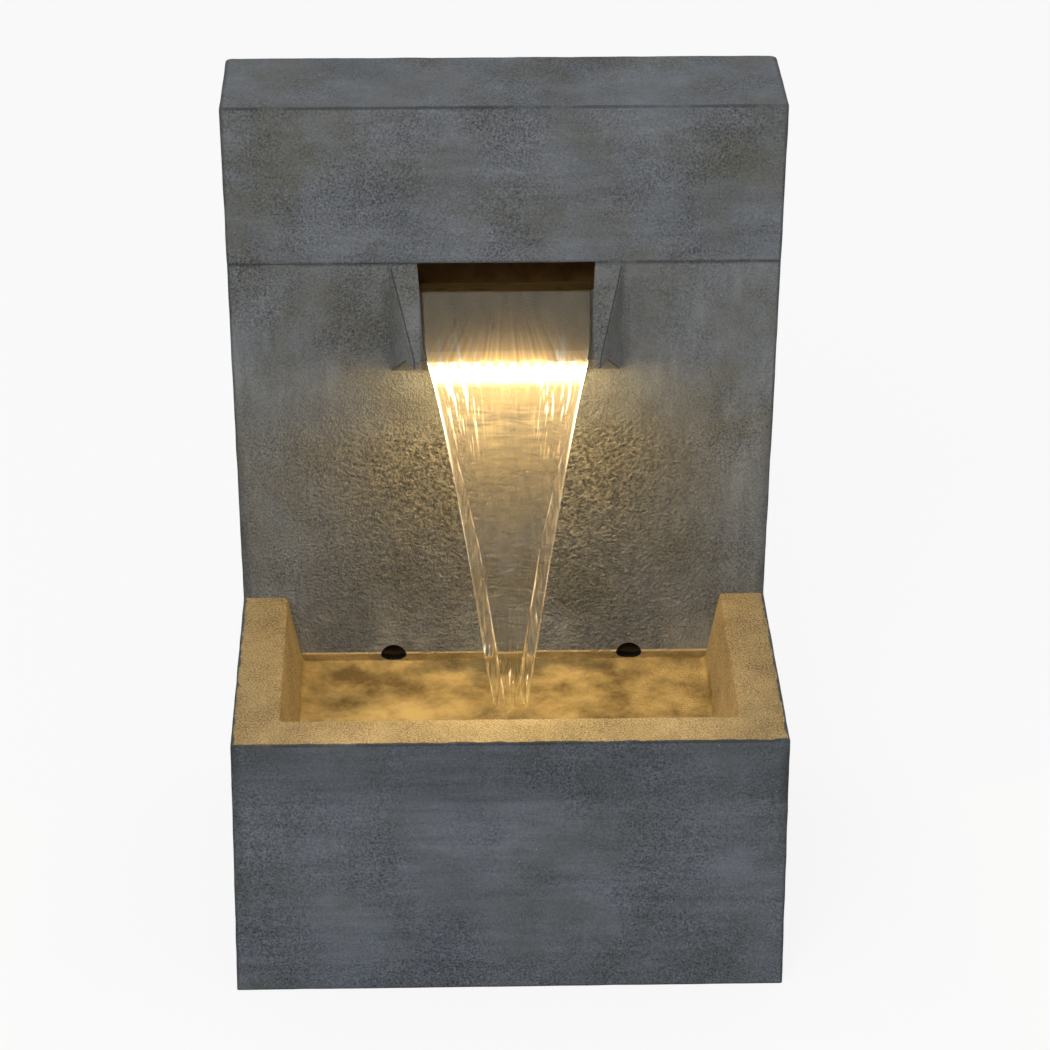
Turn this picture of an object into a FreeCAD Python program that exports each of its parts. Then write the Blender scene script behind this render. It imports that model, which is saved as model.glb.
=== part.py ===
import FreeCAD, Part
import math
import os

V = FreeCAD.Vector

# The fountain stands on the ground with its back to a garden wall. +Z is up, +X is to the viewer's
# right, -Y faces the viewer. The origin is at ground level under the middle of the whole object.

# Cast body, overall
rim_width = 500.0
base_flare = 3.0
tower_flare = 5.0
basin_depth = 270.0
tower_depth = 128.0
basin_height = 265.0
seam_height = 613.0
cap_height = 152.0
skin = 10.0
edge_round = 3.0
corner_round = 7.0
joint_gap = 0.3
pick_range = 1.0

# Basin
rim_thickness = 42.0
tray_depth = 78.5
tray_draft = 14.0
tray_floor_thickness = 10.0
tray_round = 5.0

# Return holes from the basin to the reservoir in the tower's foot
return_hole_radius = 12.5
return_bush_radius = 22.0
return_hole_spacing = 228.0
return_hole_shift = 7.0

# Spout cast in one piece with its two cheeks
mouth_width = 163.0
mouth_height = 28.5
mouth_shift = 1.5
spout_reach = 60.0
spout_front_width = 151.0
cheek_back_thickness = 25.5
cheek_front_thickness = 10.5
cheek_top_gap = 4.0
lip_fall = 43.5
lip_thickness = 7.0
cheek_front_height = 2.0
lip_pad = 20.0
spout_root_depth = 79.5
tongue_thickness = 10.0
tongue_overhang = 4.5

# Light bar in the front edge of the lip
light_length = 144.0
light_depth = 9.0
light_channel_wall = 1.0
light_board_thickness = 1.2
light_board_height = 7.0
light_chip_pitch = 11.0
light_chip_count = 12
light_chip_width = 3.5
light_chip_height = 2.8
light_chip_thickness = 0.9

# Weir trough that feeds the spout
trough_length = 200.0
trough_height = 66.0
trough_wall = 3.0
trough_drop = 78.0
weir_side_gap = 1.0
ledge_depth = 12.0
ledge_height = 16.0
inlet_x = 0.0

# Bulkhead fitting under the trough
spigot_radius = 6.4
spigot_bore = 4.8
spigot_length = 26.0
fitting_flange_radius = 14.0
fitting_flange_thickness = 3.0
fitting_thread_radius = 9.0
fitting_nut_flats = 24.0
fitting_nut_height = 6.0
fitting_washer_thickness = 2.0
fitting_stem_past_nut = 2.0

# Pump
pump_x = -20.0
pump_length = 50.0
pump_width = 48.0
pump_height = 44.0
pump_foot = 8.0
chamber_radius = 17.0
chamber_depth = 18.0
rotor_well_radius = 9.0
rotor_clearance = 0.8
magnet_length = 24.0
impeller_radius = 14.0
impeller_disc = 2.0
impeller_vane_height = 9.0
impeller_vane_thickness = 1.6
impeller_vane_count = 6
shaft_radius = 1.5
shaft_seat_depth = 3.0
running_gap = 0.06
seat_gap = 0.04
cover_thickness = 4.0
cover_spoke = 2.0
intake_radius = 6.0
outlet_height = 20.0
pump_corner_round = 4.0
pump_nose = 5.0
strainer_length = 20.0
strainer_wall = 2.0
strainer_slot = 2.4
strainer_slot_pitch = 5.0
strainer_slot_margin = 8.0
dial_radius = 10.0
dial_thickness = 3.0
dial_grip_thickness = 3.0
dial_grip_height = 4.0
dial_face_gap = 0.1
dial_pin_radius = 2.4
dial_head_radius = 3.4
dial_head_thickness = 1.2
cup_radius = 8.0
cup_neck_radius = 3.5
cup_rim = 1.0
gland_radius = 5.5
gland_length = 8.0
gland_spacing = 22.0
gland_rise = 4.0
gland_lead_depth = 6.0
supply_cord_radius = 3.2

# Supply hose
hose_outer_radius = 8.4
hose_bore_radius = 6.5
clamp_width = 8.0
clamp_thickness = 1.0
clamp_end_gap = 5.0
clamp_screw_width = 8.0
clamp_screw_height = 5.0
hose_end_gap = 1.0

# Light lead, held in a groove under the spout and in clips on the tower's front wall
lead_radius = 2.2
lead_groove_width = 6.0
lead_groove_depth = 7.0
lead_hole_radius = 4.0
lead_x = -60.0
lead_wall_gap = 5.0
lead_clip_width = 8.0
lead_clip_thickness = 1.2
lead_clip_foot = 5.0
lead_clip_foot_thickness = 1.5
lead_clip_gap = 0.1
lead_clip_heights = (180.0, 300.0, 420.0)
lead_low_rise = 60.0

# Service opening and its door in the back of the tower
opening_width = 220.0
opening_height = 180.0
opening_sill = 140.0
door_overlap = 16.0
door_thickness = 4.0
door_panel_rise = 3.0
door_corner_round = 6.0
door_panel_round = 8.0
door_edge_gap = 1.0
door_recess = 16.0
flange_thickness = 9.0
frame_border = 12.0
gasket_thickness = 2.0
screw_shank_radius = 2.4
screw_hole_radius = 2.8
screw_head_radius = 7.0
screw_head_height = 8.0
screw_knurl_count = 18
screw_knurl_radius = 0.8
screw_slot_width = 1.6
screw_slot_depth = 1.5
screw_end_gap = 1.0
insert_radius = 4.0
grommet_hole_radius = 9.0
grommet_flange_radius = 12.0
grommet_flange_thickness = 1.5
grommet_bore_radius = 4.0
grommet_drop = 62.0

# Drain plug low in the back of the tower
drain_side_gap = 83.0
drain_radius = 9.0
drain_boss_radius = 20.0
drain_boss_depth = 12.0
drain_recess_radius = 15.0
drain_recess_depth = 8.0
drain_flange_thickness = 4.0
drain_floor_gap = 5.0
drain_fit = 0.08
drain_tab_width = 12.0
drain_tab_thickness = 3.0
drain_back_gap = 0.5
drain_flange_gap = 1.5

# Levels and planes worked out from the sizes above
tower_height = seam_height + cap_height
y_front = -(basin_depth + tower_depth) / 2
y_wall = y_front + basin_depth
y_back = y_wall + tower_depth
y_inside_front = y_wall + skin
y_inside_back = y_back - skin
tray_floor_z = basin_height - tray_depth
tray_half_top = rim_width / 2 - rim_thickness
tray_front_top = y_front + rim_thickness
return_hole_z = tray_floor_z + return_hole_radius
sill_z = seam_height - mouth_height
notch_floor_z = sill_z - tongue_thickness
lip_z = sill_z - lip_fall
lip_bottom_z = lip_z - lip_thickness
spout_root_z = sill_z - spout_root_depth
lip_y = y_wall - spout_reach
trough_bottom_z = seam_height - trough_drop
trough_y0 = y_inside_front + joint_gap
trough_y1 = y_inside_back - joint_gap
inlet_y = (trough_y0 + trough_y1) / 2
pump_bottom_z = skin + pump_foot
pump_y = (y_inside_front + y_inside_back) / 2
pump_axis_z = pump_bottom_z + pump_height / 2
pump_front_x = pump_x + pump_length
door_width = opening_width + 2 * door_overlap
door_height = opening_height + 2 * door_overlap
door_mid_z = opening_sill + opening_height / 2
flange_y = y_back - door_recess
flange_inner_y = flange_y - flange_thickness
gasket_y = flange_y + gasket_thickness
door_outer_y = gasket_y + door_thickness
drain_z = skin + drain_floor_gap + drain_radius
drain_x = drain_side_gap - rim_width / 2 - base_flare


def half_width(z):
    """Half the width of the cast body at height z: it narrows from the ground to the rim, then widens."""
    if z <= basin_height:
        return rim_width / 2 + base_flare * (1 - z / basin_height)
    return rim_width / 2 + tower_flare * (z - basin_height) / (tower_height - basin_height)


def box(x0, x1, y0, y1, z0, z1):
    return Part.makeBox(x1 - x0, y1 - y0, z1 - z0, V(x0, y0, z0))


def rod(radius, start, end):
    start = V(*start)
    span = V(*end) - start
    return Part.makeCylinder(radius, span.Length, start, span)


def pipe_piece(outer, inner, start, end):
    return rod(outer, start, end).cut(rod(inner, start, end))


def prism(points, along):
    """A flat outline of 3-D points, pushed out along a vector."""
    wire = Part.makePolygon([V(*p) for p in points] + [V(*points[0])])
    return Part.Face(wire).extrude(V(*along))


def seen_from_front(points_xz, y0, y1):
    return prism([(x, y0, z) for x, z in points_xz], (0, y1 - y0, 0))


def seen_from_side(points_yz, x0, x1):
    return prism([(x0, y, z) for y, z in points_yz], (x1 - x0, 0, 0))


def seen_from_above(points_xy, z0, z1):
    return prism([(x, y, z0) for x, y in points_xy], (0, 0, z1 - z0))


def body_outline(z0, z1, inset):
    """The cast body's outline seen from the front, between two heights, drawn in by inset."""
    levels = [z0] + [basin_height] * (z0 < basin_height < z1) + [z1]
    right = [(half_width(z) - inset, z) for z in levels]
    return right + [(-x, z) for x, z in reversed(right)]


def soften(shape, radius, chosen):
    """Rounds the edges for which chosen(middle, direction) is true."""
    edges = []
    for edge in shape.Edges:
        first, last = edge.Vertexes[0].Point, edge.Vertexes[-1].Point
        if chosen((first + last) / 2, (last - first).normalize()):
            edges.append(edge)
    return shape.makeFillet(radius, edges)


def whole(shape):
    """One tidy solid, or several as one compound."""
    shape = shape.removeSplitter()
    solids = shape.Solids
    return solids[0] if len(solids) == 1 else Part.makeCompound(solids)


def tray_block(grow, z_low, z_high):
    """The basin's tapering hollow, made larger by grow on its sides and front."""

    def outline(z):
        inward = tray_draft * (basin_height - z) / tray_depth - grow
        half = tray_half_top - inward
        front = tray_front_top + inward
        corners = [(-half, front), (half, front), (half, y_wall), (-half, y_wall)]
        points = [V(x, y, z) for x, y in corners]
        return Part.makePolygon(points + points[:1])

    return Part.makeLoft([outline(z_low), outline(z_high)], True, True)


def basin_shell():
    outer = seen_from_front(body_outline(0, basin_height, 0), y_front, y_wall)
    outer = soften(outer, edge_round, lambda p, d: abs(d.z) > 0.9 and p.y < y_front + pick_range)
    outer = soften(
        outer,
        edge_round,
        lambda p, d: p.z > basin_height - pick_range and p.y < y_wall - pick_range,
    )
    under = seen_from_front(
        body_outline(0, basin_height - skin, skin), y_front + skin, y_wall
    )
    tray_under = tray_floor_z - tray_floor_thickness
    under = under.cut(tray_block(skin, tray_under, basin_height))
    hollow = tray_block(0, tray_floor_z, basin_height)
    hollow = soften(
        hollow,
        tray_round,
        lambda p, d: p.y < y_wall - pick_range and (abs(d.z) > 0.7 or p.z < tray_floor_z + pick_range),
    )
    return whole(outer.cut(under).cut(hollow))


def door_recess_space():
    half = door_width / 2 + door_edge_gap
    rise = door_height / 2 + door_edge_gap
    return box(-half, half, flange_y, y_back, door_mid_z - rise, door_mid_z + rise)


def opening_space(y0, y1):
    half = opening_width / 2
    return box(-half, half, y0, y1, opening_sill, opening_sill + opening_height)


def screw_places():
    dx = opening_width / 2 + door_overlap / 2
    dz = opening_height / 2 + door_overlap / 2
    return [(sx * dx, door_mid_z + sz * dz) for sz in (1, -1) for sx in (-1, 1)]


def ledge(y_face, inward):
    """A corbel under one long edge of the weir trough. inward is +1 or -1 along Y."""
    top = trough_bottom_z
    tip = y_face + inward * ledge_depth
    points = [(y_face, top), (tip, top), (tip, top - ledge_height / 4), (y_face, top - ledge_height)]
    return seen_from_side(points, -trough_length / 2, trough_length / 2)


def tower_block():
    """The tower's full block up to the seam, with its outer upright edges rounded."""
    outer = seen_from_front(body_outline(0, seam_height, 0), y_wall, y_back)
    return soften(
        outer,
        edge_round,
        lambda p, d: abs(d.z) > 0.9 and (p.y > y_back - pick_range or p.z > basin_height),
    )


def between_sides():
    """The space between the tower's two side walls, above its floor, from front to back."""
    return seen_from_front(body_outline(skin, seam_height, skin), y_wall, y_back)


def tower_floor():
    reach = rim_width
    return whole(tower_block().common(box(-reach, reach, y_wall, y_back, 0, skin)))


def tower_side(side):
    """Side wall, side being -1 for the left and 1 for the right."""
    reach = side * rim_width
    half = box(min(0, reach), max(0, reach), y_wall, y_back, skin, seam_height)
    return whole(tower_block().common(half).cut(between_sides()))


def return_holes():
    """The middle of each return hole across the front wall."""
    return [return_hole_shift + side * return_hole_spacing / 2 for side in (-1, 1)]


def through_front(radius, x, z):
    return rod(radius, (x, y_wall, z), (x, y_inside_front, z))


def tower_front():
    """Front wall with the mouth, seats for the two return bushes and the hole for the light's lead."""
    reach = rim_width
    wall = between_sides().common(box(-reach, reach, y_wall, y_inside_front, skin, seam_height))
    for x in return_holes():
        wall = wall.cut(through_front(return_bush_radius + seat_gap, x, return_hole_z))
    half_mouth = mouth_width / 2
    mouth = box(
        mouth_shift - half_mouth, mouth_shift + half_mouth,
        y_wall, y_inside_front, notch_floor_z, seam_height,
    )
    lead_hole_z = lead_path_under_spout()[-1][2]
    return whole(wall.cut(mouth).cut(through_front(lead_hole_radius, lead_x, lead_hole_z)))


def return_bush(x):
    """Cast bush bonded into the front wall round a return hole."""
    return whole(
        through_front(return_bush_radius, x, return_hole_z).cut(
            through_front(return_hole_radius, x, return_hole_z)
        )
    )


def tower_back():
    """Back wall with the door's recess and the drain plug's seat."""
    reach = rim_width
    wall = between_sides().common(box(-reach, reach, y_inside_back, y_back, skin, seam_height))
    wall = wall.cut(door_recess_space())
    wall = wall.cut(rod(drain_radius, (drain_x, y_inside_back, drain_z), (drain_x, y_back, drain_z)))
    seat = (drain_x, y_back - drain_recess_depth, drain_z)
    return whole(wall.cut(rod(drain_recess_radius, seat, (drain_x, y_back, drain_z))))


def door_frame():
    """Cast frame bonded inside the back wall, round the service opening, that the door closes on."""
    half = door_width / 2 + door_edge_gap + frame_border
    rise = door_height / 2 + door_edge_gap + frame_border
    frame = box(-half, half, flange_inner_y, y_inside_back, door_mid_z - rise, door_mid_z + rise)
    frame = frame.cut(door_recess_space()).cut(opening_space(flange_inner_y, y_back))
    for x, z in screw_places():
        frame = frame.cut(rod(insert_radius + seat_gap, (x, flange_inner_y, z), (x, flange_y, z)))
    return whole(frame)


def drain_boss():
    """Thick round pad inside the back wall that gives the drain plug its length."""
    z = skin + drain_boss_radius
    inner_y = y_inside_back - drain_boss_depth
    boss = rod(drain_boss_radius, (drain_x, inner_y, z), (drain_x, y_inside_back, z))
    return whole(boss.cut(rod(drain_radius, (drain_x, inner_y, drain_z), (drain_x, y_inside_back, drain_z))))


def trough_ledges():
    """Two cast corbels bonded to the front and back walls under the weir trough."""
    return Part.makeCompound([ledge(y_inside_front, 1), ledge(y_inside_back, -1)])


def cap_shell():
    outer = seen_from_front(body_outline(seam_height, tower_height, 0), y_wall, y_back)
    outer = soften(outer, edge_round, lambda p, d: abs(d.z) > 0.9 and p.y < y_wall + pick_range)
    outer = soften(outer, corner_round, lambda p, d: abs(d.z) > 0.9 and p.y > y_back - pick_range)
    outer = soften(outer, edge_round, lambda p, d: p.z > tower_height - pick_range)
    inner = seen_from_front(
        body_outline(seam_height, tower_height - skin, skin), y_inside_front, y_inside_back
    )
    return whole(outer.cut(inner))


def spout_plan(back_half, front_half, z0, z1):
    """A plan outline that narrows from the wall to the lip."""
    points = [(-back_half, y_wall), (back_half, y_wall), (front_half, lip_y), (-front_half, lip_y)]
    return seen_from_above([(x + mouth_shift, y) for x, y in points], z0, z1)


def floor_height(y):
    """Height of the spout's floor at a place between the wall and the lip."""
    return sill_z - lip_fall * (y_wall - y) / spout_reach


def lead_path_under_spout():
    """The lead's line from the light bar to the hole in the wall, set into the spout's underside."""
    up = lead_groove_depth / 2
    start_y = lip_y + light_depth + light_channel_wall
    return [
        (lead_x, start_y, lip_bottom_z + up),
        (lead_x, lip_y + lip_pad, lip_bottom_z + up),
        (lead_x, y_wall, spout_root_z + up),
    ]


def lead_groove():
    half = lead_groove_width / 2
    deep = lead_groove_depth
    start_y = lip_y + light_depth + light_channel_wall
    points = [
        (start_y, lip_bottom_z),
        (start_y, lip_bottom_z + deep),
        (lip_y + lip_pad, lip_bottom_z + deep),
        (y_wall, spout_root_z + deep),
        (y_wall, spout_root_z),
        (lip_y + lip_pad, lip_bottom_z),
    ]
    return seen_from_side(points, lead_x - half, lead_x + half)


def light_pocket_depth():
    return light_depth + light_channel_wall


def spout_chute():
    cheek_top = seam_height - cheek_top_gap
    front_top = lip_z + cheek_front_height
    profile = [
        (y_wall, cheek_top),
        (lip_y, front_top),
        (lip_y, lip_bottom_z),
        (lip_y + lip_pad, lip_bottom_z),
        (y_wall, spout_root_z),
    ]
    back_half = mouth_width / 2 + cheek_back_thickness
    front_half = spout_front_width / 2 + cheek_front_thickness
    block = seen_from_side(profile, mouth_shift - back_half, mouth_shift + back_half)
    block = block.common(spout_plan(back_half, front_half, spout_root_z, seam_height))
    channel = [
        (y_wall, sill_z),
        (y_wall, seam_height),
        (lip_y, seam_height),
        (lip_y, lip_z),
    ]
    channel = seen_from_side(channel, mouth_shift - back_half, mouth_shift + back_half)
    channel = channel.common(
        spout_plan(mouth_width / 2, spout_front_width / 2, lip_z, seam_height)
    )
    half_light = light_length / 2
    pocket = box(
        mouth_shift - half_light, mouth_shift + half_light,
        lip_y, lip_y + light_pocket_depth(), lip_bottom_z, seam_height,
    )
    block = block.cut(channel).cut(pocket).cut(lead_groove())
    half_tongue = mouth_width / 2 - joint_gap
    tongue = box(
        mouth_shift - half_tongue, mouth_shift + half_tongue,
        y_wall, trough_y0 + tongue_overhang, notch_floor_z, sill_z,
    )
    return whole(block.fuse(tongue))


def light_section(front_in, back_in):
    """The light bar's section: flat below, its top in line with the spout's floor."""
    front = lip_y + front_in
    back = lip_y + light_pocket_depth() - back_in
    low = lip_bottom_z
    return [(front, low), (front, floor_height(front)), (back, floor_height(back)), (back, low)]


def light_channel():
    half = light_length / 2 - seat_gap
    left, right = mouth_shift - half, mouth_shift + half
    whole_bar = seen_from_side(light_section(0, seat_gap), left, right)
    space = seen_from_side(
        light_section(0, light_channel_wall), left + light_channel_wall, right - light_channel_wall
    )
    exit_hole = lead_path_under_spout()[0]
    hole = rod(
        lead_radius + seat_gap,
        (lead_x, exit_hole[1] - light_channel_wall - seat_gap, exit_hole[2]), exit_hole,
    )
    return whole(whole_bar.cut(space).cut(hole))


def light_board_box():
    half = light_length / 2 - light_channel_wall - 2 * seat_gap
    back = lip_y + light_pocket_depth() - light_channel_wall
    low = lip_bottom_z + light_channel_wall
    return box(
        mouth_shift - half, mouth_shift + half,
        back - light_board_thickness, back, low, low + light_board_height,
    )


def light_chip_boxes():
    front = light_board_box().BoundBox.YMin
    mid_z = (light_board_box().BoundBox.ZMin + light_board_box().BoundBox.ZMax) / 2
    chips = []
    for i in range(light_chip_count):
        x = mouth_shift + (i - (light_chip_count - 1) / 2) * light_chip_pitch
        chips.append(
            box(
                x - light_chip_width / 2, x + light_chip_width / 2,
                front - light_chip_thickness, front,
                mid_z - light_chip_height / 2, mid_z + light_chip_height / 2,
            )
        )
    return chips


def light_lens():
    half = light_length / 2 - light_channel_wall - 2 * seat_gap
    lens = seen_from_side(light_section(0, light_channel_wall), mouth_shift - half, mouth_shift + half)
    lens = lens.cut(light_board_box())
    for chip in light_chip_boxes():
        lens = lens.cut(chip)
    return whole(lens)


def weir_trough():
    half = trough_length / 2
    top = trough_bottom_z + trough_height
    wall = trough_wall
    outer = box(-half, half, trough_y0, trough_y1, trough_bottom_z, top)
    inner = box(-half + wall, half - wall, trough_y0 + wall, trough_y1 - wall, trough_bottom_z + wall, top)
    half_mouth = mouth_width / 2 + weir_side_gap
    weir = box(
        mouth_shift - half_mouth, mouth_shift + half_mouth,
        trough_y0, trough_y0 + wall, notch_floor_z - joint_gap, top,
    )
    hole = rod(
        fitting_thread_radius + seat_gap,
        (inlet_x, inlet_y, trough_bottom_z), (inlet_x, inlet_y, trough_bottom_z + wall),
    )
    return whole(outer.cut(inner).cut(weir).cut(hole))


def on_inlet(z):
    return (inlet_x, inlet_y, z)


def stem_end_z():
    return trough_bottom_z - fitting_washer_thickness - fitting_nut_height - fitting_stem_past_nut


def inlet_spigot():
    """Flange inside the trough, threaded stem through its floor, plain spigot below for the hose."""
    floor = trough_bottom_z + trough_wall
    stem_end = stem_end_z()
    body = rod(fitting_flange_radius, on_inlet(floor), on_inlet(floor + fitting_flange_thickness))
    body = body.fuse(rod(fitting_thread_radius, on_inlet(stem_end), on_inlet(floor)))
    body = body.fuse(rod(spigot_radius, on_inlet(stem_end - spigot_length), on_inlet(stem_end)))
    bore = rod(
        spigot_bore, on_inlet(stem_end - spigot_length), on_inlet(floor + fitting_flange_thickness)
    )
    return whole(body.cut(bore))


def inlet_washer():
    return pipe_piece(
        fitting_flange_radius, fitting_thread_radius + seat_gap,
        on_inlet(trough_bottom_z - fitting_washer_thickness), on_inlet(trough_bottom_z),
    )


def inlet_nut():
    top = trough_bottom_z - fitting_washer_thickness
    reach = fitting_nut_flats / math.sqrt(3)
    corners = [
        (inlet_x + reach * math.cos(math.radians(60 * i)), inlet_y + reach * math.sin(math.radians(60 * i)))
        for i in range(6)
    ]
    nut = seen_from_above(corners, top - fitting_nut_height, top)
    bore = rod(fitting_thread_radius + seat_gap, on_inlet(top - fitting_nut_height), on_inlet(top))
    return whole(nut.cut(bore))


def along_pump(x, dy=0.0, dz=0.0):
    return (x, pump_y + dy, pump_axis_z + dz)


def outlet_x():
    """The outlet stands over the impeller chamber, with the hose just clear of the strainer."""
    return pump_front_x - pump_nose - hose_outer_radius - joint_gap


def outlet_top_z():
    return pump_bottom_z + pump_height + outlet_height


def well_bottom_x():
    """Far end of the rotor's well, inside the motor block."""
    return pump_front_x - chamber_depth - magnet_length - 2 * rotor_clearance


def pump_section(x0, x1, inset):
    """The pump's rounded cross-section between two places along it, drawn in by inset."""
    half = pump_width / 2 - inset
    low, high = pump_bottom_z + inset, pump_bottom_z + pump_height - inset
    block = box(x0, x1, pump_y - half, pump_y + half, low, high)
    return soften(block, pump_corner_round - inset, lambda p, d: abs(d.x) > 0.9)


def pump_housing():
    block = pump_section(pump_x, pump_front_x - pump_nose, 0)
    block = block.fuse(pump_section(pump_x, pump_front_x, strainer_wall + joint_gap))
    x, chamber_x = outlet_x(), pump_front_x - chamber_depth
    stub = rod(
        hose_bore_radius - running_gap,
        (x, pump_y, pump_axis_z + chamber_radius), (x, pump_y, outlet_top_z()),
    )
    block = block.fuse(stub)
    block = block.cut(rod(chamber_radius, along_pump(chamber_x), along_pump(pump_front_x)))
    block = block.cut(rod(rotor_well_radius, along_pump(well_bottom_x()), along_pump(chamber_x)))
    seat_end = well_bottom_x() - shaft_seat_depth
    block = block.cut(rod(shaft_radius + seat_gap, along_pump(seat_end), along_pump(well_bottom_x())))
    throat = rod(
        spigot_bore, (x, pump_y, pump_axis_z + impeller_radius), (x, pump_y, outlet_top_z())
    )
    return whole(block.cut(throat))


def pump_shaft():
    start = well_bottom_x() - shaft_seat_depth + seat_gap
    return rod(shaft_radius, along_pump(start), along_pump(pump_front_x - seat_gap))


def pump_rotor():
    """Magnet in the well and impeller in the chamber, one moulding turning on the fixed shaft."""
    disc_x = pump_front_x - chamber_depth + rotor_clearance
    vane_top = disc_x + impeller_disc + impeller_vane_height
    magnet = rod(
        rotor_well_radius - rotor_clearance,
        along_pump(disc_x - magnet_length), along_pump(disc_x),
    )
    disc = rod(impeller_radius, along_pump(disc_x), along_pump(disc_x + impeller_disc))
    hub = rod(shaft_radius + impeller_disc, along_pump(disc_x), along_pump(vane_top))
    body = magnet.fuse(disc).fuse(hub)
    half_vane = impeller_vane_thickness / 2
    vane = box(
        disc_x + impeller_disc / 2, vane_top, pump_y - half_vane, pump_y + half_vane,
        pump_axis_z + shaft_radius + impeller_disc / 2, pump_axis_z + impeller_radius - half_vane,
    )
    for i in range(impeller_vane_count):
        turned = vane.copy()
        turned.rotate(V(*along_pump(disc_x)), V(1, 0, 0), i * 360 / impeller_vane_count)
        body = body.fuse(turned)
    bore = rod(
        shaft_radius + running_gap,
        along_pump(disc_x - magnet_length), along_pump(pump_front_x),
    )
    return whole(body.cut(bore))


def impeller_cover():
    """Disc that closes the impeller chamber, with the intake round a hub that holds the shaft's end."""
    back = pump_front_x - cover_thickness
    disc = rod(chamber_radius - seat_gap, along_pump(back), along_pump(pump_front_x))
    disc = disc.cut(rod(intake_radius, along_pump(back), along_pump(pump_front_x)))
    hub = rod(shaft_radius + cover_spoke, along_pump(back), along_pump(pump_front_x))
    half, reach = cover_spoke / 2, intake_radius + cover_spoke
    spoke = box(
        back, pump_front_x, pump_y - half, pump_y + half, pump_axis_z - reach, pump_axis_z + reach
    )
    cross = spoke.copy()
    cross.rotate(V(*along_pump(back)), V(1, 0, 0), 90)
    hole = rod(shaft_radius + seat_gap, along_pump(back), along_pump(pump_front_x))
    return whole(disc.fuse(hub).fuse(spoke).fuse(cross).cut(hole))


def strainer_end_x():
    return pump_front_x - pump_nose + strainer_length


def slot_starts(low, high):
    """Where each slot starts, evenly spaced and centred between two places."""
    pitch = strainer_slot_pitch
    count = int((high - low) / pitch)
    margin = (high - low - (count - 1) * pitch - strainer_slot) / 2
    return [low + margin + i * pitch for i in range(count)]


def front_strainer():
    """Slotted cage that laps over the pump's nose and stops against its shoulder."""
    x0, x1 = pump_front_x - pump_nose, strainer_end_x()
    wall, half = strainer_wall, pump_width / 2
    low = pump_bottom_z + strainer_slot_margin
    high = pump_bottom_z + pump_height - strainer_slot_margin
    body = pump_section(x0, x1, 0).cut(pump_section(x0, x1 - wall, wall))
    margin = strainer_slot_margin - strainer_wall
    for y in slot_starts(pump_y - half + margin, pump_y + half - margin):
        if abs(y + strainer_slot / 2 - pump_y) > dial_radius + strainer_slot:
            body = body.cut(box(x1 - wall, x1, y, y + strainer_slot, low, high))
    for x in slot_starts(pump_front_x + wall, x1 - wall):
        body = body.cut(box(x, x + strainer_slot, pump_y - half, pump_y + half, low, high))
    port = rod(dial_radius - strainer_wall, along_pump(x1 - wall), along_pump(x1))
    ring = rod(dial_head_radius + strainer_wall, along_pump(x1 - wall), along_pump(x1))
    half_port = box(x1 - wall, x1, pump_y, pump_y + half, low, high)
    body = body.cut(port.common(half_port).cut(ring))
    return whole(body.cut(rod(dial_pin_radius + running_gap, along_pump(x1 - wall), along_pump(x1))))


def flow_dial():
    """Half disc that covers more or less of the intake port, with a raised grip and a headed pin."""
    x0 = strainer_end_x() + dial_face_gap
    x1 = x0 + dial_thickness
    low, high = pump_axis_z - dial_radius, pump_axis_z + dial_radius
    disc = rod(dial_radius, along_pump(x0), along_pump(x1))
    disc = disc.common(box(x0, x1, pump_y - dial_radius, pump_y + dial_grip_thickness, low, high))
    half_grip = dial_grip_thickness / 2
    grip = box(x0, x1 + dial_grip_height, pump_y - half_grip, pump_y + half_grip, low, high)
    grip = grip.common(rod(dial_radius, along_pump(x0), along_pump(x1 + dial_grip_height)))
    wall_back = strainer_end_x() - strainer_wall - dial_face_gap
    pin = rod(dial_pin_radius, along_pump(wall_back), along_pump(x1))
    head = rod(dial_head_radius, along_pump(wall_back - dial_head_thickness), along_pump(wall_back))
    return whole(disc.fuse(grip).fuse(pin).fuse(head))


def cup_places():
    """Centres of the four cups, set in from the corners of the pump's base."""
    inset = cup_radius + cup_rim
    xs = (pump_x + inset, pump_front_x - pump_nose - inset)
    ys = (pump_y - pump_width / 2 + inset, pump_y + pump_width / 2 - inset)
    return [(x, y) for x in xs for y in ys]


def suction_cups():
    """Four rubber feet: a neck under the pump and a shallow cup against the reservoir's floor."""
    outline = [
        (0, pump_foot), (cup_neck_radius, pump_foot), (cup_neck_radius, pump_foot / 2),
        (cup_radius, cup_rim), (cup_radius, 0), (cup_radius - cup_rim, 0), (0, pump_foot / 4),
    ]
    cups = []
    for x, y in cup_places():
        wire = Part.makePolygon([V(x + r, y, skin + h) for r, h in outline + outline[:1]])
        cups.append(Part.Face(wire).revolve(V(x, y, 0), V(0, 0, 1), 360))
    return Part.makeCompound(cups)


def lead_socket():
    return along_pump(pump_x, -gland_spacing / 2, gland_rise)


def cord_inlet():
    return along_pump(pump_x, gland_spacing / 2, gland_rise)


def pump_glands():
    """Two moulded rubber glands: one holds the light lead, one takes the supply cord."""
    glands = []
    holes = {lead_socket(): lead_radius + lead_clip_gap, cord_inlet(): supply_cord_radius}
    for (x, y, z), hole_radius in holes.items():
        gland = rod(gland_radius, (x - gland_length, y, z), (x, y, z))
        hole = rod(hole_radius, (x - gland_length, y, z), (x - gland_length + gland_lead_depth, y, z))
        glands.append(whole(gland.cut(hole)))
    return Part.makeCompound(glands)


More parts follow.
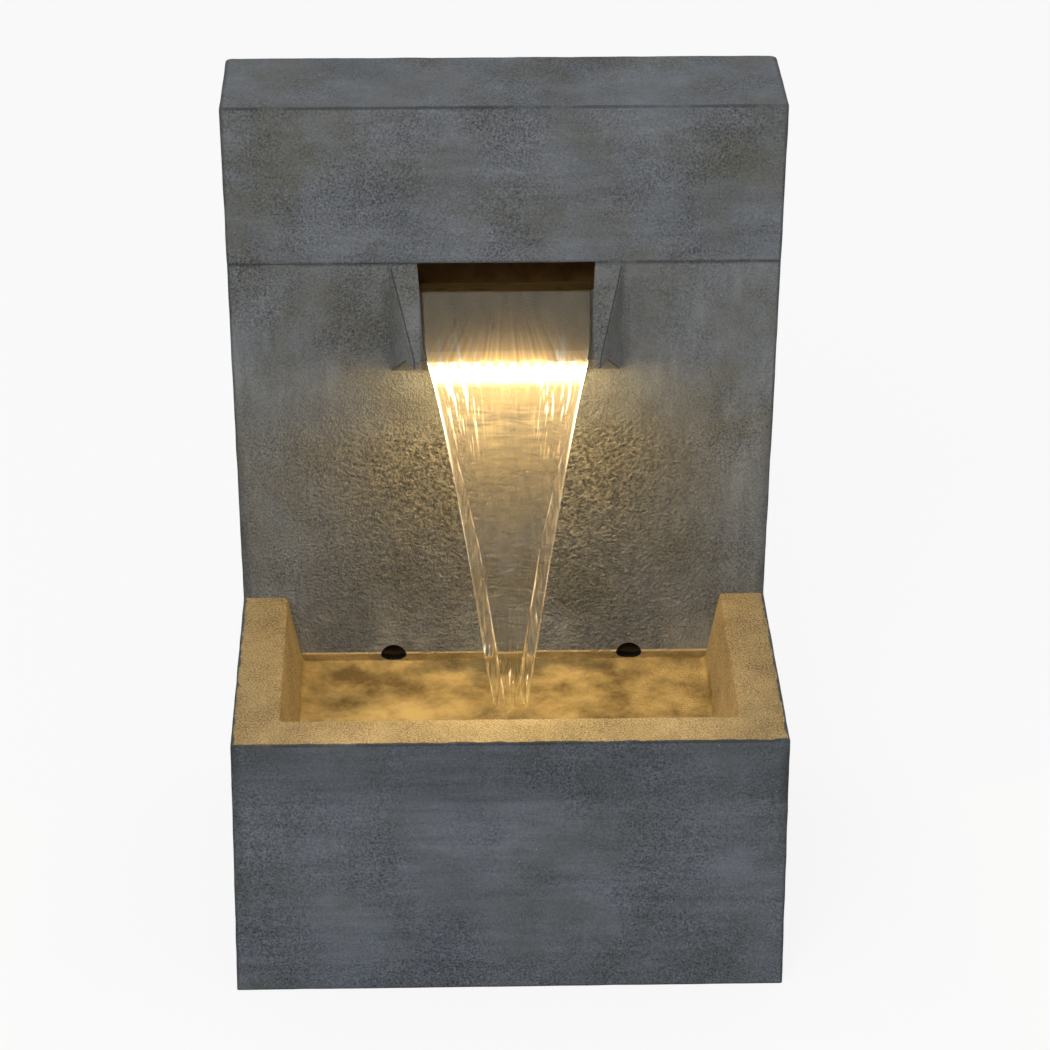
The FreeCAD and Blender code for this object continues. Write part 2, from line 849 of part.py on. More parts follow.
def rounded_line(points, share=0.45, print_name=None):
    """Straight runs joined by tangent arcs, each as large as its two runs allow."""
    pts = [V(*p) for p in points]
    edges, at = [], pts[0]
    radii = []
    for before, corner, after in zip(pts, pts[1:], pts[2:]):
        into = (corner - before).normalize()
        out = (after - corner).normalize()
        turn = into.getAngle(out)
        reach = share * min((corner - before).Length, (after - corner).Length)
        radii.append(reach / math.tan(turn / 2))
        start, end = corner - into * reach, corner + out * reach
        middle = corner + (out - into).normalize() * (
            radii[-1] / math.cos(turn / 2) - radii[-1]
        )
        edges.append(Part.makeLine(at, start))
        edges.append(Part.Arc(start, middle, end).toShape())
        at = end
    edges.append(Part.makeLine(at, pts[-1]))
    if print_name:
        wire = Part.Wire(edges)
        print(print_name, "length", round(wire.Length), "arc radii", [round(r) for r in radii])
    return Part.Wire(edges)


def swept(points, radius, print_name=None):
    path = rounded_line(points, print_name=print_name)
    start = V(*points[0])
    along = (V(*points[1]) - start).normalize()
    ring = Part.Wire([Part.makeCircle(radius, start, along)])
    return path.makePipeShell([ring], True, False)


def hose_points():
    """From the pump's outlet, swinging past the door's opening, up to the trough's spigot."""
    top = stem_end_z() - hose_end_gap
    low = pump_bottom_z + pump_height
    rise = top - low
    x = outlet_x()
    return [
        (x, pump_y, low),
        (x, pump_y, low + 0.25 * rise),
        (inlet_x, inlet_y, low + 0.7 * rise),
        (inlet_x, inlet_y, top),
    ]


def supply_hose():
    points = hose_points()
    outer = swept(points, hose_outer_radius, "supply hose")
    inner = swept(points, hose_bore_radius)
    return whole(outer.cut(inner))


def hose_clamps():
    """A band with its screw housing round each end of the hose."""
    low, high = hose_points()[0], hose_points()[-1]
    starts = [low[2] + clamp_end_gap, high[2] - clamp_end_gap - clamp_width]
    clamps = []
    for (x, y, _), z in zip((low, high), starts):
        inner = hose_outer_radius + seat_gap
        outer = inner + clamp_thickness
        band = pipe_piece(outer, inner, (x, y, z), (x, y, z + clamp_width))
        housing = box(
            x - clamp_screw_width / 2, x + clamp_screw_width / 2,
            y - outer - clamp_screw_height, y - inner - clamp_thickness / 2,
            z + clamp_thickness, z + clamp_width - clamp_thickness,
        )
        clamps.append(whole(band.fuse(housing)))
    return Part.makeCompound(clamps)


def lead_points():
    """From the light bar, under the spout, through the wall, down in its clips and to the pump."""
    under = lead_path_under_spout()
    wall_y = y_inside_front + lead_wall_gap
    hole_z = under[-1][2]
    x, y, z = lead_socket()
    return [
        (lead_x, under[0][1] - light_channel_wall, under[0][2]),
        under[1],
        under[2],
        (lead_x, wall_y, hole_z),
        (lead_x, wall_y, z + lead_low_rise),
        (lead_x, y, z),
        (x - gland_length + gland_lead_depth, y, z),
    ]


def light_lead():
    return whole(swept(lead_points(), lead_radius, "light lead"))


def lead_clips():
    """Saddle clips stuck to the front wall's inner face over the lead."""
    clips = []
    y = y_inside_front + lead_wall_gap
    inner = lead_radius + lead_clip_gap
    outer = inner + lead_clip_thickness
    foot = outer + lead_clip_foot
    for z in lead_clip_heights:
        z0, z1 = z - lead_clip_width / 2, z + lead_clip_width / 2
        clip = rod(outer, (lead_x, y, z0), (lead_x, y, z1))
        clip = clip.fuse(box(lead_x - outer, lead_x + outer, y_inside_front, y, z0, z1))
        pad_y = y_inside_front + lead_clip_foot_thickness
        clip = clip.fuse(box(lead_x - foot, lead_x + foot, y_inside_front, pad_y, z0, z1))
        clip = clip.cut(rod(inner, (lead_x, y, z0), (lead_x, y, z1)))
        clips.append(whole(clip))
    return Part.makeCompound(clips)


def access_door():
    half, rise = door_width / 2, door_height / 2
    low, high = door_mid_z - rise, door_mid_z + rise
    plate = box(-half, half, gasket_y, door_outer_y, low, high)
    plate = soften(plate, door_corner_round, lambda p, d: abs(d.y) > 0.9)
    inset = door_overlap + screw_head_radius
    panel = box(
        -half + inset, half - inset, door_outer_y, door_outer_y + door_panel_rise, low + inset, high - inset
    )
    plate = plate.fuse(soften(panel, door_panel_round, lambda p, d: abs(d.y) > 0.9))
    for x, z in screw_places():
        plate = plate.cut(rod(screw_hole_radius, (x, gasket_y, z), (x, door_outer_y, z)))
    z = door_mid_z - grommet_drop
    hole = rod(
        grommet_hole_radius, (0, gasket_y, z), (0, door_outer_y + door_panel_rise, z)
    )
    return whole(plate.cut(hole))


def door_gasket():
    half, rise = door_width / 2, door_height / 2
    ring = box(-half, half, flange_y, gasket_y, door_mid_z - rise, door_mid_z + rise)
    ring = soften(ring, door_corner_round, lambda p, d: abs(d.y) > 0.9)
    ring = ring.cut(opening_space(flange_y, gasket_y))
    for x, z in screw_places():
        ring = ring.cut(rod(screw_hole_radius, (x, flange_y, z), (x, gasket_y, z)))
    return whole(ring)


def cable_grommet():
    """Rubber grommet in the door through which the supply cord leaves."""
    z = door_mid_z - grommet_drop
    y0 = gasket_y - grommet_flange_thickness
    y1 = door_outer_y + door_panel_rise + grommet_flange_thickness
    body = rod(grommet_hole_radius - seat_gap, (0, y0, z), (0, y1, z))
    body = body.fuse(rod(grommet_flange_radius, (0, y0, z), (0, gasket_y, z)))
    body = body.fuse(rod(grommet_flange_radius, (0, y1 - grommet_flange_thickness, z), (0, y1, z)))
    return whole(body.cut(rod(grommet_bore_radius, (0, y0, z), (0, y1, z))))


def door_screw(x, z):
    """Captive thumb screw: knurled head outside the door, shank through it into the insert."""
    face = door_outer_y + screw_head_height
    head = rod(screw_head_radius, (x, door_outer_y, z), (x, face, z))
    for i in range(screw_knurl_count):
        a = 2 * math.pi * i / screw_knurl_count
        nx, nz = x + screw_head_radius * math.cos(a), z + screw_head_radius * math.sin(a)
        head = head.cut(rod(screw_knurl_radius, (nx, door_outer_y, nz), (nx, face, nz)))
    half_slot = screw_slot_width / 2
    slot = box(
        x - screw_head_radius, x + screw_head_radius, face - screw_slot_depth, face,
        z - half_slot, z + half_slot,
    )
    shank = rod(screw_shank_radius, (x, flange_inner_y + screw_end_gap, z), (x, door_outer_y, z))
    return whole(head.cut(slot).fuse(shank))


def door_inserts():
    """Threaded brass inserts set in the frame's flange, one behind each screw."""
    return Part.makeCompound(
        [
            pipe_piece(
                insert_radius, screw_shank_radius + running_gap, (x, flange_inner_y, z), (x, flange_y, z)
            )
            for x, z in screw_places()
        ]
    )


def drain_plug():
    """Rubber bung with a flange against the recess and a pull tab inside the back plane."""
    seat = y_back - drain_recess_depth
    flange_outer = seat + drain_flange_thickness
    inner_end = y_inside_back - drain_boss_depth
    stem = rod(drain_radius - drain_fit, (drain_x, inner_end, drain_z), (drain_x, flange_outer, drain_z))
    flange = rod(
        drain_recess_radius - drain_flange_gap, (drain_x, seat, drain_z), (drain_x, flange_outer, drain_z)
    )
    half_width, half_tab = drain_tab_width / 2, drain_tab_thickness / 2
    tab = box(
        drain_x - half_width, drain_x + half_width, flange_outer, y_back - drain_back_gap,
        drain_z - half_tab, drain_z + half_tab,
    )
    return whole(stem.fuse(flange).fuse(tab))


def nodes():
    made = {
        "basin_shell": basin_shell(),
        "tower_front": tower_front(),
        "tower_back": tower_back(),
        "tower_left": tower_side(-1),
        "tower_right": tower_side(1),
        "tower_floor": tower_floor(),
        "door_frame": door_frame(),
        "drain_boss": drain_boss(),
        "trough_ledges": trough_ledges(),
        "cap_shell": cap_shell(),
        "spout_chute": spout_chute(),
        "light_channel": light_channel(),
        "light_board": light_board_box(),
        "light_chips": Part.makeCompound(light_chip_boxes()),
        "light_lens": light_lens(),
        "light_lead": light_lead(),
        "lead_clips": lead_clips(),
        "weir_trough": weir_trough(),
        "inlet_spigot": inlet_spigot(),
        "inlet_washer": inlet_washer(),
        "inlet_nut": inlet_nut(),
        "supply_hose": supply_hose(),
        "hose_clamps": hose_clamps(),
        "pump_housing": pump_housing(),
        "pump_shaft": pump_shaft(),
        "pump_rotor": pump_rotor(),
        "impeller_cover": impeller_cover(),
        "front_strainer": front_strainer(),
        "flow_dial": flow_dial(),
        "suction_cups": suction_cups(),
        "pump_glands": pump_glands(),
        "access_door": access_door(),
        "door_gasket": door_gasket(),
        "cable_grommet": cable_grommet(),
        "door_inserts": door_inserts(),
        "drain_plug": drain_plug(),
    }
    for side, x in zip(("left", "right"), return_holes()):
        made[f"return_bush_{side}"] = return_bush(x)
    for number, (x, z) in enumerate(screw_places(), 1):
        made[f"door_screw_{number}"] = door_screw(x, z)
    return made


def main():
    os.makedirs("parts", exist_ok=True)
    total = 0.0
    for name, shape in nodes().items():
        valid = shape.isValid() and all(s.isValid() and s.Volume > 0 for s in shape.Solids)
        total += shape.Volume
        size = shape.Volume / 1000
        print(f"{name:18s} solids {len(shape.Solids):2d} volume {size:9.2f} cm3 valid {valid}")
        shape.exportStep(f"parts/{name}.step")
    print("total volume", round(total / 1e6, 2), "litres")


main()
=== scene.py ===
# %% [markdown]
# Garden wall fountain. A cast stone basin stands in front of a tall tower. Water rises inside the
# tower, runs out of a wide mouth over a lit spout, and falls as a narrowing sheet into the basin.
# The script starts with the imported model, which is the fixed frame that every piece fits.

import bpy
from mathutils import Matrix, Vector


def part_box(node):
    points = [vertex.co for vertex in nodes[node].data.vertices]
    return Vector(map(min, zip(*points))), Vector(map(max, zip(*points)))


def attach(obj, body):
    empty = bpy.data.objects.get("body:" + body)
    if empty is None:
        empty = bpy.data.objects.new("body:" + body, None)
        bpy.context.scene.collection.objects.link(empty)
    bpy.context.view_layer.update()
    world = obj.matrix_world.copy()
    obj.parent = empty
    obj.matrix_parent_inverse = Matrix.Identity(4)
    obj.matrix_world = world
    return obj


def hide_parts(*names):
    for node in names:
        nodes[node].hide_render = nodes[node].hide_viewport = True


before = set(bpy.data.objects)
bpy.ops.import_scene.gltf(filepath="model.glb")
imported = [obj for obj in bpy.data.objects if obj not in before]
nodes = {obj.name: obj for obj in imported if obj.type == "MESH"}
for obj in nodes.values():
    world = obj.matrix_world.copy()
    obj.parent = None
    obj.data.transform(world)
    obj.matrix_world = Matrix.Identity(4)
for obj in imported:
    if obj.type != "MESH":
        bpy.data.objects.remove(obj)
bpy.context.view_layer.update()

# %% Tools of the script
import math

import bmesh
import bpy
from mathutils import Matrix, Vector, noise

MM = 0.001

# %% [markdown]
# The camera comes first. Its place and lens were found by matching the corners of the cast body
# in the photograph, so everything that follows can be compared with it region by region.

# %% Camera
def sight(yaw, pitch, roll):
    """The right, up and forward directions of a camera turned by these angles."""
    flat = math.cos(pitch)
    forward = Vector((math.sin(yaw) * flat, math.cos(yaw) * flat, -math.sin(pitch)))
    level = Vector((math.cos(yaw), -math.sin(yaw), 0.0))
    over = level.cross(forward)
    right = level * math.cos(roll) + over * math.sin(roll)
    return right, over * math.cos(roll) - level * math.sin(roll), forward


PHOTO_WIDTH, SENSOR, FOCAL = 1050.0, 36.0, 3423.48  # pixels, millimetres, pixels
EYE = (-0.0656, -2.8035, 1.8707)
right, up, forward = sight(0.0297, 0.4887, 0.0045)
camera_data = bpy.data.cameras.new("camera")
camera_data.sensor_width = SENSOR
camera_data.lens = FOCAL * SENSOR / PHOTO_WIDTH
camera = bpy.data.objects.new("camera", camera_data)
bpy.context.collection.objects.link(camera)
camera.matrix_world = Matrix.Translation(EYE) @ Matrix((right, up, -forward)).transposed().to_4x4()
camera_data.clip_end = 50.0
bpy.context.scene.camera = camera
print("camera lens", round(camera_data.lens, 2), "mm")

# %% [markdown]
# The main planes of the castings are read from the frame, so that the finer castings made here
# can never drift from the solids that carry the fountain's motion and collision.

# %% Planes of the castings
basin_low, basin_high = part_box("basin_shell")
cap_low, cap_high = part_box("cap_shell")
spout_low, spout_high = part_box("spout_chute")
lens_low, lens_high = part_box("light_lens")
front_y, wall_y, back_y = basin_low[1], basin_high[1], cap_high[1]
rim_z, seam_z, top_z = basin_high[2], cap_low[2], cap_high[2]
skin = 10 * MM
rim_half = 250 * MM
pool_z = 202 * MM


def half_at(z):
    """Half the body's width at height z: it narrows from the ground to the rim, then widens."""
    if z <= rim_z:
        return rim_half + 3 * MM * (1 - z / rim_z)
    return rim_half + 5 * MM * (z - rim_z) / (top_z - rim_z)


print("front", front_y, "wall", wall_y, "back", back_y, "rim", rim_z, "seam", seam_z, "top", top_z)


# %% Hands: select, move, cut
def settle():
    """Back to object mode with nothing selected."""
    if bpy.context.object and bpy.context.object.mode != "OBJECT":
        bpy.ops.object.mode_set(mode="OBJECT")
    bpy.ops.object.select_all(action="DESELECT")


def take(piece):
    """Makes a piece the only selected and active one."""
    settle()
    piece.select_set(True)
    bpy.context.view_layer.objects.active = piece


def pick(piece, kind, wanted):
    """Opens a piece with the corners, edges or faces selected for which wanted(it) is true."""
    take(piece)
    bpy.ops.object.mode_set(mode="EDIT")
    bpy.ops.mesh.select_mode(type=kind)
    bpy.ops.mesh.select_all(action="DESELECT")
    mesh = bmesh.from_edit_mesh(piece.data)
    for part in {"VERT": mesh.verts, "EDGE": mesh.edges, "FACE": mesh.faces}[kind]:
        if wanted(part):
            part.select_set(True)
    mesh.select_flush_mode()
    bmesh.update_edit_mesh(piece.data)


def place_in_mesh(piece, name):
    """Names a piece and moves its place into its mesh."""
    piece.name = piece.data.name = name
    bpy.ops.object.transform_apply(location=True, rotation=True, scale=True)
    return piece


def block(name, x0, x1, y0, y1, z0, z1):
    """A cube added at its size and place."""
    settle()
    middle = ((x0 + x1) / 2, (y0 + y1) / 2, (z0 + z1) / 2)
    bpy.ops.mesh.primitive_cube_add(size=1, location=middle, scale=(x1 - x0, y1 - y0, z1 - z0))
    return place_in_mesh(bpy.context.object, name)


def bar(name, radius, start, end, sides=48):
    """A cylinder between two points."""
    settle()
    start, end = Vector(start), Vector(end)
    turn = (end - start).to_track_quat("Z", "Y").to_euler()
    bpy.ops.mesh.primitive_cylinder_add(
        vertices=sides, radius=radius, depth=(end - start).length,
        location=(start + end) / 2, rotation=turn,
    )
    return place_in_mesh(bpy.context.object, name)


def join_solid(piece, other, how="DIFFERENCE"):
    """Cuts or adds another solid, which is used up."""
    take(piece)
    modifier = piece.modifiers.new("carve", "BOOLEAN")
    modifier.operation, modifier.object, modifier.solver = how, other, "EXACT"
    bpy.ops.object.modifier_apply(modifier=modifier.name)
    bpy.data.objects.remove(other)
    return piece


def slice_at(piece, axis, places):
    """Cuts a piece's faces along flat planes across one axis."""
    take(piece)
    bpy.ops.object.mode_set(mode="EDIT")
    for place in places:
        bpy.ops.mesh.select_all(action="SELECT")
        point = [place if i == axis else 0.0 for i in range(3)]
        normal = [1.0 if i == axis else 0.0 for i in range(3)]
        bpy.ops.mesh.bisect(plane_co=point, plane_no=normal, use_fill=False)
    settle()


def grid(piece, step, axes=(0, 1, 2)):
    """Even cuts along each axis, so that a later modifier can move the faces between the edges."""
    for axis in axes:
        places = sorted(v.co[axis] for v in piece.data.vertices)
        low, high = places[0], places[-1]
        count = int((high - low) / step)
        slice_at(piece, axis, [low + (i + 0.5) * (high - low) / count for i in range(count)])


def widen(piece, chosen, ratio, centre_x=0.0):
    """Makes the chosen corners' distances along X from the centre larger or smaller."""
    pick(piece, "VERT", chosen)
    bpy.ops.transform.resize(value=(ratio, 1.0, 1.0), center_override=(centre_x, 0.0, 0.0))
    settle()


def shift(piece, chosen, by):
    pick(piece, "VERT", chosen)
    bpy.ops.transform.translate(value=by)
    settle()


def round_edges(piece, chosen, radius, segments=3):
    pick(piece, "EDGE", chosen)
    bpy.ops.mesh.bevel(
        offset=radius, offset_type="OFFSET", segments=segments, profile=0.5, affect="EDGES"
    )
    settle()


def middle_of(edge):
    return (edge.verts[0].co + edge.verts[1].co) / 2


def runs_along(edge, axis):
    span = edge.verts[1].co - edge.verts[0].co
    return abs(span[axis]) > 0.7 * span.length


def near(a, b, reach=0.5 * MM):
    return abs(a - b) < reach


def cut_block(piece, z0, z1, y0, y1, painted_y):
    """Even cuts for the waviness, and close ones beside the outer edges for a narrow line of painted edge
    shade.

    The edge attribute stores how near each corner of the mesh is to the outer edges."""
    grid(piece, 8 * MM)
    beside = 2.8 * MM
    slice_at(piece, 2, [z0 + beside, z1 - beside])
    slice_at(piece, 1, [y0 + beside, y1 - beside])
    slice_at(piece, 0, [-half_at(z0) + beside, half_at(z0) - beside])
    values = []
    for corner in piece.data.vertices:
        x, y, z = corner.co
        gaps = sorted([half_at(z) - abs(x), min(y - y0, painted_y - y), min(z - z0, z1 - z)])
        values.append(max(0.0, 1 - max(0.0, gaps[1] - 1.7 * MM) / MM))
    piece.data.attributes.new("edge", "FLOAT", "POINT").data.foreach_set("value", values)


def displace(piece, name, grain, detail, depth, group=""):
    """Moves a surface in and out by a cloudy texture, depth millimetres from crest to hollow."""
    take(piece)
    modifier = piece.modifiers.new(name, "DISPLACE")
    modifier.texture = bpy.data.textures.new(name, "CLOUDS")
    modifier.texture.noise_scale, modifier.texture.noise_depth = grain * MM, detail
    modifier.texture_coords, modifier.vertex_group = "LOCAL", group
    modifier.strength, modifier.mid_level = depth * MM, 0.5
    bpy.ops.object.modifier_apply(modifier=modifier.name)


def cast_surface(piece, depth=1.0, grain=30):
    """The slight waviness and uneven edges of a piece cast in a mould and rubbed down by hand."""
    displace(piece, "waviness", grain, 3, depth)
    bpy.ops.object.shade_smooth_by_angle(angle=math.radians(38))
    settle()


def size_of(piece):
    return "%s: %d faces" % (piece.name, len(piece.data.polygons))


print("tools ready")

# %% [markdown]
# The tower's lower part is one upright box with thin walls. A box is flared at its foot and top,
# hollowed by a smaller one, and then the mouth, the two return holes, the service opening at the
# back and the drain are cut, as the formers in the mould leave them.


# %% Body block that widens and narrows
def body_block(name, y0, y1, z0, z1, inset):
    """A block as wide as the cast body at each height, drawn in by inset."""
    piece = block(name, -1, 1, y0, y1, z0, z1)
    if z0 < rim_z < z1:
        slice_at(piece, 2, [rim_z])
    for z in sorted({round(v.co.z, 6) for v in piece.data.vertices}):
        widen(piece, lambda v: near(v.co.z, z), half_at(z) - inset)
    return piece


tower = body_block("tower_casting", wall_y, back_y, 0, seam_z, 0)
round_edges(
    tower,
    lambda e: runs_along(e, 2) and (near(middle_of(e).y, back_y) or middle_of(e).z > rim_z),
    1.8 * MM,
)
round_edges(tower, lambda e: near(middle_of(e).z, seam_z), 0.8 * MM, 2)
print(size_of(tower))

# %% Hollow of the tower, leaving the door's frame, the drain's boss and the trough's ledges
frame_low, frame_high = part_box("door_frame")
trough_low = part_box("weir_trough")[0]
boss_low, boss_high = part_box("drain_boss")
drain_x, drain_z = (boss_low[0] + boss_high[0]) / 2, 24 * MM
border = (frame_low[0], frame_high[0], frame_low[1], back_y, frame_low[2], frame_high[2])
boss_z = 30 * MM
tower_hollow = body_block("tower_hollow", wall_y + skin, back_y - skin, skin, seam_z + 5 * MM, skin)
join_solid(tower_hollow, block("door_border", *border))
join_solid(tower_hollow, bar("boss", 20 * MM, (drain_x, boss_low[1], boss_z), (drain_x, back_y, boss_z)))


def corbel(name, face_y, tip_y):
    """A ledge whose underside slopes back to the wall."""
    low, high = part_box("trough_ledges")
    piece = block(name, low[0], high[0], min(face_y, tip_y), max(face_y, tip_y), low[2], trough_low[2])
    shift(piece, lambda v: near(v.co.z, low[2]) and near(v.co.y, tip_y), (0, 0, 12 * MM))
    return piece


join_solid(tower_hollow, corbel("front_ledge", wall_y + skin - MM, wall_y + skin + 12 * MM))
join_solid(tower_hollow, corbel("back_ledge", back_y - skin + MM, back_y - skin - 12 * MM))
join_solid(tower, tower_hollow)
print(size_of(tower))

# %% Openings of the tower
bushes = [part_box(name) for name in ("return_bush_left", "return_bush_right")]
hole_x = [(low[0] + high[0]) / 2 for low, high in bushes]
hole_z = (bushes[0][0][2] + bushes[0][1][2]) / 2
mouth_x, mouth_half = 1.5 * MM, 81.5 * MM
sill_z = seam_z - 28.5 * MM
door_low, door_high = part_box("access_door")
recess_y = back_y - 16 * MM


def hole(name, radius, x, z, y0, y1, sides=48):
    """A round former from front to back."""
    return bar(name, radius, (x, y0, z), (x, y1, z), sides)


in_front = (wall_y - skin, wall_y + skin + MM)
mouth_low, mouth_high = mouth_x - mouth_half, mouth_x + mouth_half
frame_y = recess_y - 20 * MM
formers = [block("mouth", mouth_low, mouth_high, *in_front, sill_z - skin, seam_z + skin)]
formers += [hole("return_hole", 12.5 * MM, x, hole_z, *in_front) for x in hole_x]
formers.append(hole("lead_hole", 4 * MM, -60 * MM, 508.5 * MM, *in_front))
formers.append(block(
    "recess", door_low[0] - MM, door_high[0] + MM, recess_y, back_y + skin,
    door_low[2] - MM, door_high[2] + MM,
))
formers.append(block("service_opening", -110 * MM, 110 * MM, frame_y, back_y, 140 * MM, 320 * MM))
for x in (-118 * MM, 118 * MM):
    for z in (132 * MM, 328 * MM):
        formers.append(hole("insert_hole", 4.1 * MM, x, z, frame_y, recess_y + MM, 24))
formers.append(hole("drain_hole", 9 * MM, drain_x, drain_z, boss_low[1] - MM, back_y + MM))
formers.append(hole("drain_seat", 15 * MM, drain_x, drain_z, back_y - 8 * MM, back_y + MM))
for former in formers:
    join_solid(tower, former)
cut_block(tower, 0, seam_z, wall_y, back_y, back_y)
print(size_of(tower))

# %% [markdown]
# Below the spout the front is pebbled. Its faces there are cut finer, and a second displacement
# lifts grains of a few millimetres, held back by weights towards the water and the plain stone.

# %% Pebbles on the tower's front
def on_front(x, y, z):
    return near(y, wall_y, 0.1 * MM) and abs(x) < 0.205 and 0.205 < z < 0.475


def fade(value, none, full):
    """0 at none, 1 at full, and even between them."""
    return min(1.0, max(0.0, (value - none) / (full - none)))


pick(tower, "FACE", lambda f: f.normal.y < -0.99 and on_front(*f.calc_center_median()))
bpy.ops.mesh.subdivide(number_cuts=2)
settle()
pebbled_group = tower.vertex_groups.new(name="pebbled")
for corner in tower.data.vertices:
    x, y, z = corner.co
    if on_front(x, y, z):
        weight = fade(abs(x), 0.195, 0.12) * fade(z, 0.21, 0.26) * fade(z, 0.468, 0.43)
        pebbled_group.add([corner.index], weight, "REPLACE")
displace(tower, "pebbles", 6, 2, 2.4, "pebbled")
cast_surface(tower)
print(size_of(tower))

# %% [markdown]
# The cap is a hollow box that closes the tower. Its upright edges at the back are rounder than
# the front ones, and a hairline shows where it is bonded on.

# %% Cap
cap = body_block("cap_casting", wall_y, back_y, seam_z, top_z, 0)
round_edges(cap, lambda e: runs_along(e, 2) and near(middle_of(e).y, back_y), 7 * MM, 5)
round_edges(cap, lambda e: runs_along(e, 2) and near(middle_of(e).y, wall_y), 1.8 * MM)
round_edges(cap, lambda e: near(middle_of(e).z, top_z), 1.6 * MM)
round_edges(cap, lambda e: near(middle_of(e).z, seam_z), 0.8 * MM, 2)
join_solid(cap, body_block("cap_hollow", wall_y + skin, back_y - skin, seam_z - skin, top_z - skin, skin))
cut_block(cap, seam_z, top_z, wall_y, back_y, back_y)
cast_surface(cap)
print(size_of(cap))

# %% [markdown]
# The basin is a deep box with a shallow tray sunk in its top. The tray's sides lean inwards so
# that the casting leaves its mould, and the space under the tray is open to the ground.

# %% Basin
rim_thickness, tray_floor_z, draft = 42 * MM, 186.5 * MM, 14 * MM
tray_half = rim_half - rim_thickness


def tray_space(name, grow, z_low, z_high, back):
    """The tray's tapering space, made larger by grow on its sides and front."""
    piece = block(name, -tray_half, tray_half, front_y + rim_thickness, back, z_low, z_high)
    for z in (z_low, z_high):
        inward = draft * (rim_z - z) / (rim_z - tray_floor_z) - grow
        widen(piece, lambda v: near(v.co.z, z), (tray_half - inward) / tray_half)
        shift(piece, lambda v: near(v.co.z, z) and v.co.y < 0, (0, inward, 0))
    return piece


basin = body_block("basin_casting", front_y, wall_y, 0, rim_z, 0)
round_edges(basin, lambda e: runs_along(e, 2) and near(middle_of(e).y, front_y), 1.8 * MM)
round_edges(basin, lambda e: near(middle_of(e).z, rim_z) and middle_of(e).y < wall_y - MM, 1.8 * MM)
under = body_block("under_space", front_y + skin, wall_y + skin, -skin, rim_z - skin, skin)
join_solid(under, tray_space("tray_outside", skin, tray_floor_z - skin, rim_z + skin, wall_y + 2 * skin))
join_solid(basin, under)
tray = tray_space("tray", 0, tray_floor_z, rim_z + MM, wall_y + skin)


def tray_corner(edge):
    """True for the edges round the tray's floor and the upright ones at its front."""
    x, y, z = middle_of(edge)
    upright = not runs_along(edge, 0) and y < front_y + 60 * MM and z < rim_z
    return y < wall_y and (near(z, tray_floor_z) or upright)


round_edges(tray, tray_corner, 5 * MM, 4)
join_solid(basin, tray)
round_edges(
    basin,
    lambda e: near(middle_of(e).z, rim_z) and abs(middle_of(e).x) < tray_half + MM
    and middle_of(e).y > front_y + 2 * skin and middle_of(e).y < wall_y - MM,
    2 * MM,
)
cut_block(basin, 0, rim_z, front_y, wall_y, wall_y + skin)
cast_surface(basin)
print(size_of(basin))

# %% [markdown]
# The spout is cast in one piece with its two cheeks. A block is narrowed towards the lip and
# sloped, the channel is sunk between the cheeks, and a groove is left for the light bar.

# %% Spout
lip_y, lip_z = spout_low[1], lens_low[2] + 7 * MM
root_z = spout_low[2]
back_half, front_half, channel_half = 107 * MM, 86 * MM, 75.5 * MM
slope = (sill_z - lip_z) / (wall_y - lip_y)
cheek_top = max(v.co.z for v in nodes["spout_chute"].data.vertices)
spout = block("spout_casting", mouth_x - back_half, mouth_x + back_half, lip_y, wall_y, root_z, cheek_top)
at_lip = lambda v: near(v.co.y, lip_y)
slice_at(spout, 1, [lip_y + 20 * MM])
pad = lambda v: near(v.co.y, lip_y + 20 * MM)
ratio = front_half / back_half
pad_ratio = ratio + (1 - ratio) / 3
widen(spout, at_lip, ratio, mouth_x)
widen(spout, pad, pad_ratio, mouth_x)
cheek_fall = cheek_top - (lip_z + 2 * MM)
shift(spout, lambda v: at_lip(v) and v.co.z > 0.55, (0, 0, -cheek_fall))
shift(spout, lambda v: pad(v) and v.co.z > 0.55, (0, 0, -cheek_fall * 2 / 3))
shift(spout, lambda v: (at_lip(v) or pad(v)) and near(v.co.z, root_z), (0, 0, lip_z - 7 * MM - root_z))
round_edges(spout, lambda e: abs(middle_of(e).x - mouth_x) > 80 * MM and not runs_along(e, 0)
            and abs(middle_of(e).y - wall_y) > MM, 2.2 * MM)
channel = block("channel", mouth_low, mouth_high, lip_y, wall_y, sill_z, seam_z + skin)
widen(channel, at_lip, channel_half / mouth_half, mouth_x)
shift(channel, lambda v: at_lip(v) and near(v.co.z, sill_z), (0, 0, lip_z - sill_z))
shift(channel, lambda v: at_lip(v), (0, -5 * MM, 0))
shift(channel, lambda v: near(v.co.y, lip_y - 5 * MM) and v.co.z < 0.55, (0, 0, -5 * MM * slope))
shift(channel, lambda v: near(v.co.y, wall_y) and near(v.co.z, sill_z), (0, 0, 5 * MM * slope))
shift(channel, lambda v: near(v.co.y, wall_y), (0, 5 * MM, 0))
round_edges(channel, lambda e: e.verts[0].co.z < sill_z + 6 * MM and e.verts[1].co.z < sill_z + 6 * MM
            and runs_along(e, 1), 5 * MM, 4)
join_solid(spout, channel)
bar_low, bar_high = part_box("light_channel")
join_solid(spout, block("light_seat", bar_low[0], bar_high[0], lip_y - skin, bar_high[1], root_z, seam_z))
play = 0.3 * MM
tongue = block(
    "tongue", mouth_low + play, mouth_high - play, wall_y - 0.01 * MM, spout_high[1],
    sill_z - skin, sill_z,
)
join_solid(spout, tongue, "UNION")
groove = block("groove", -63 * MM, -57 * MM, bar_high[1] - MM, wall_y, root_z - 1 * MM, root_z + 7 * MM)
shift(groove, lambda v: v.co.y < 30 * MM, (0, 0, lip_z - 7 * MM - root_z))
join_solid(spout, groove)
grid(spout, 4 * MM)
cast_surface(spout, 0.7, 20)
print(size_of(spout))

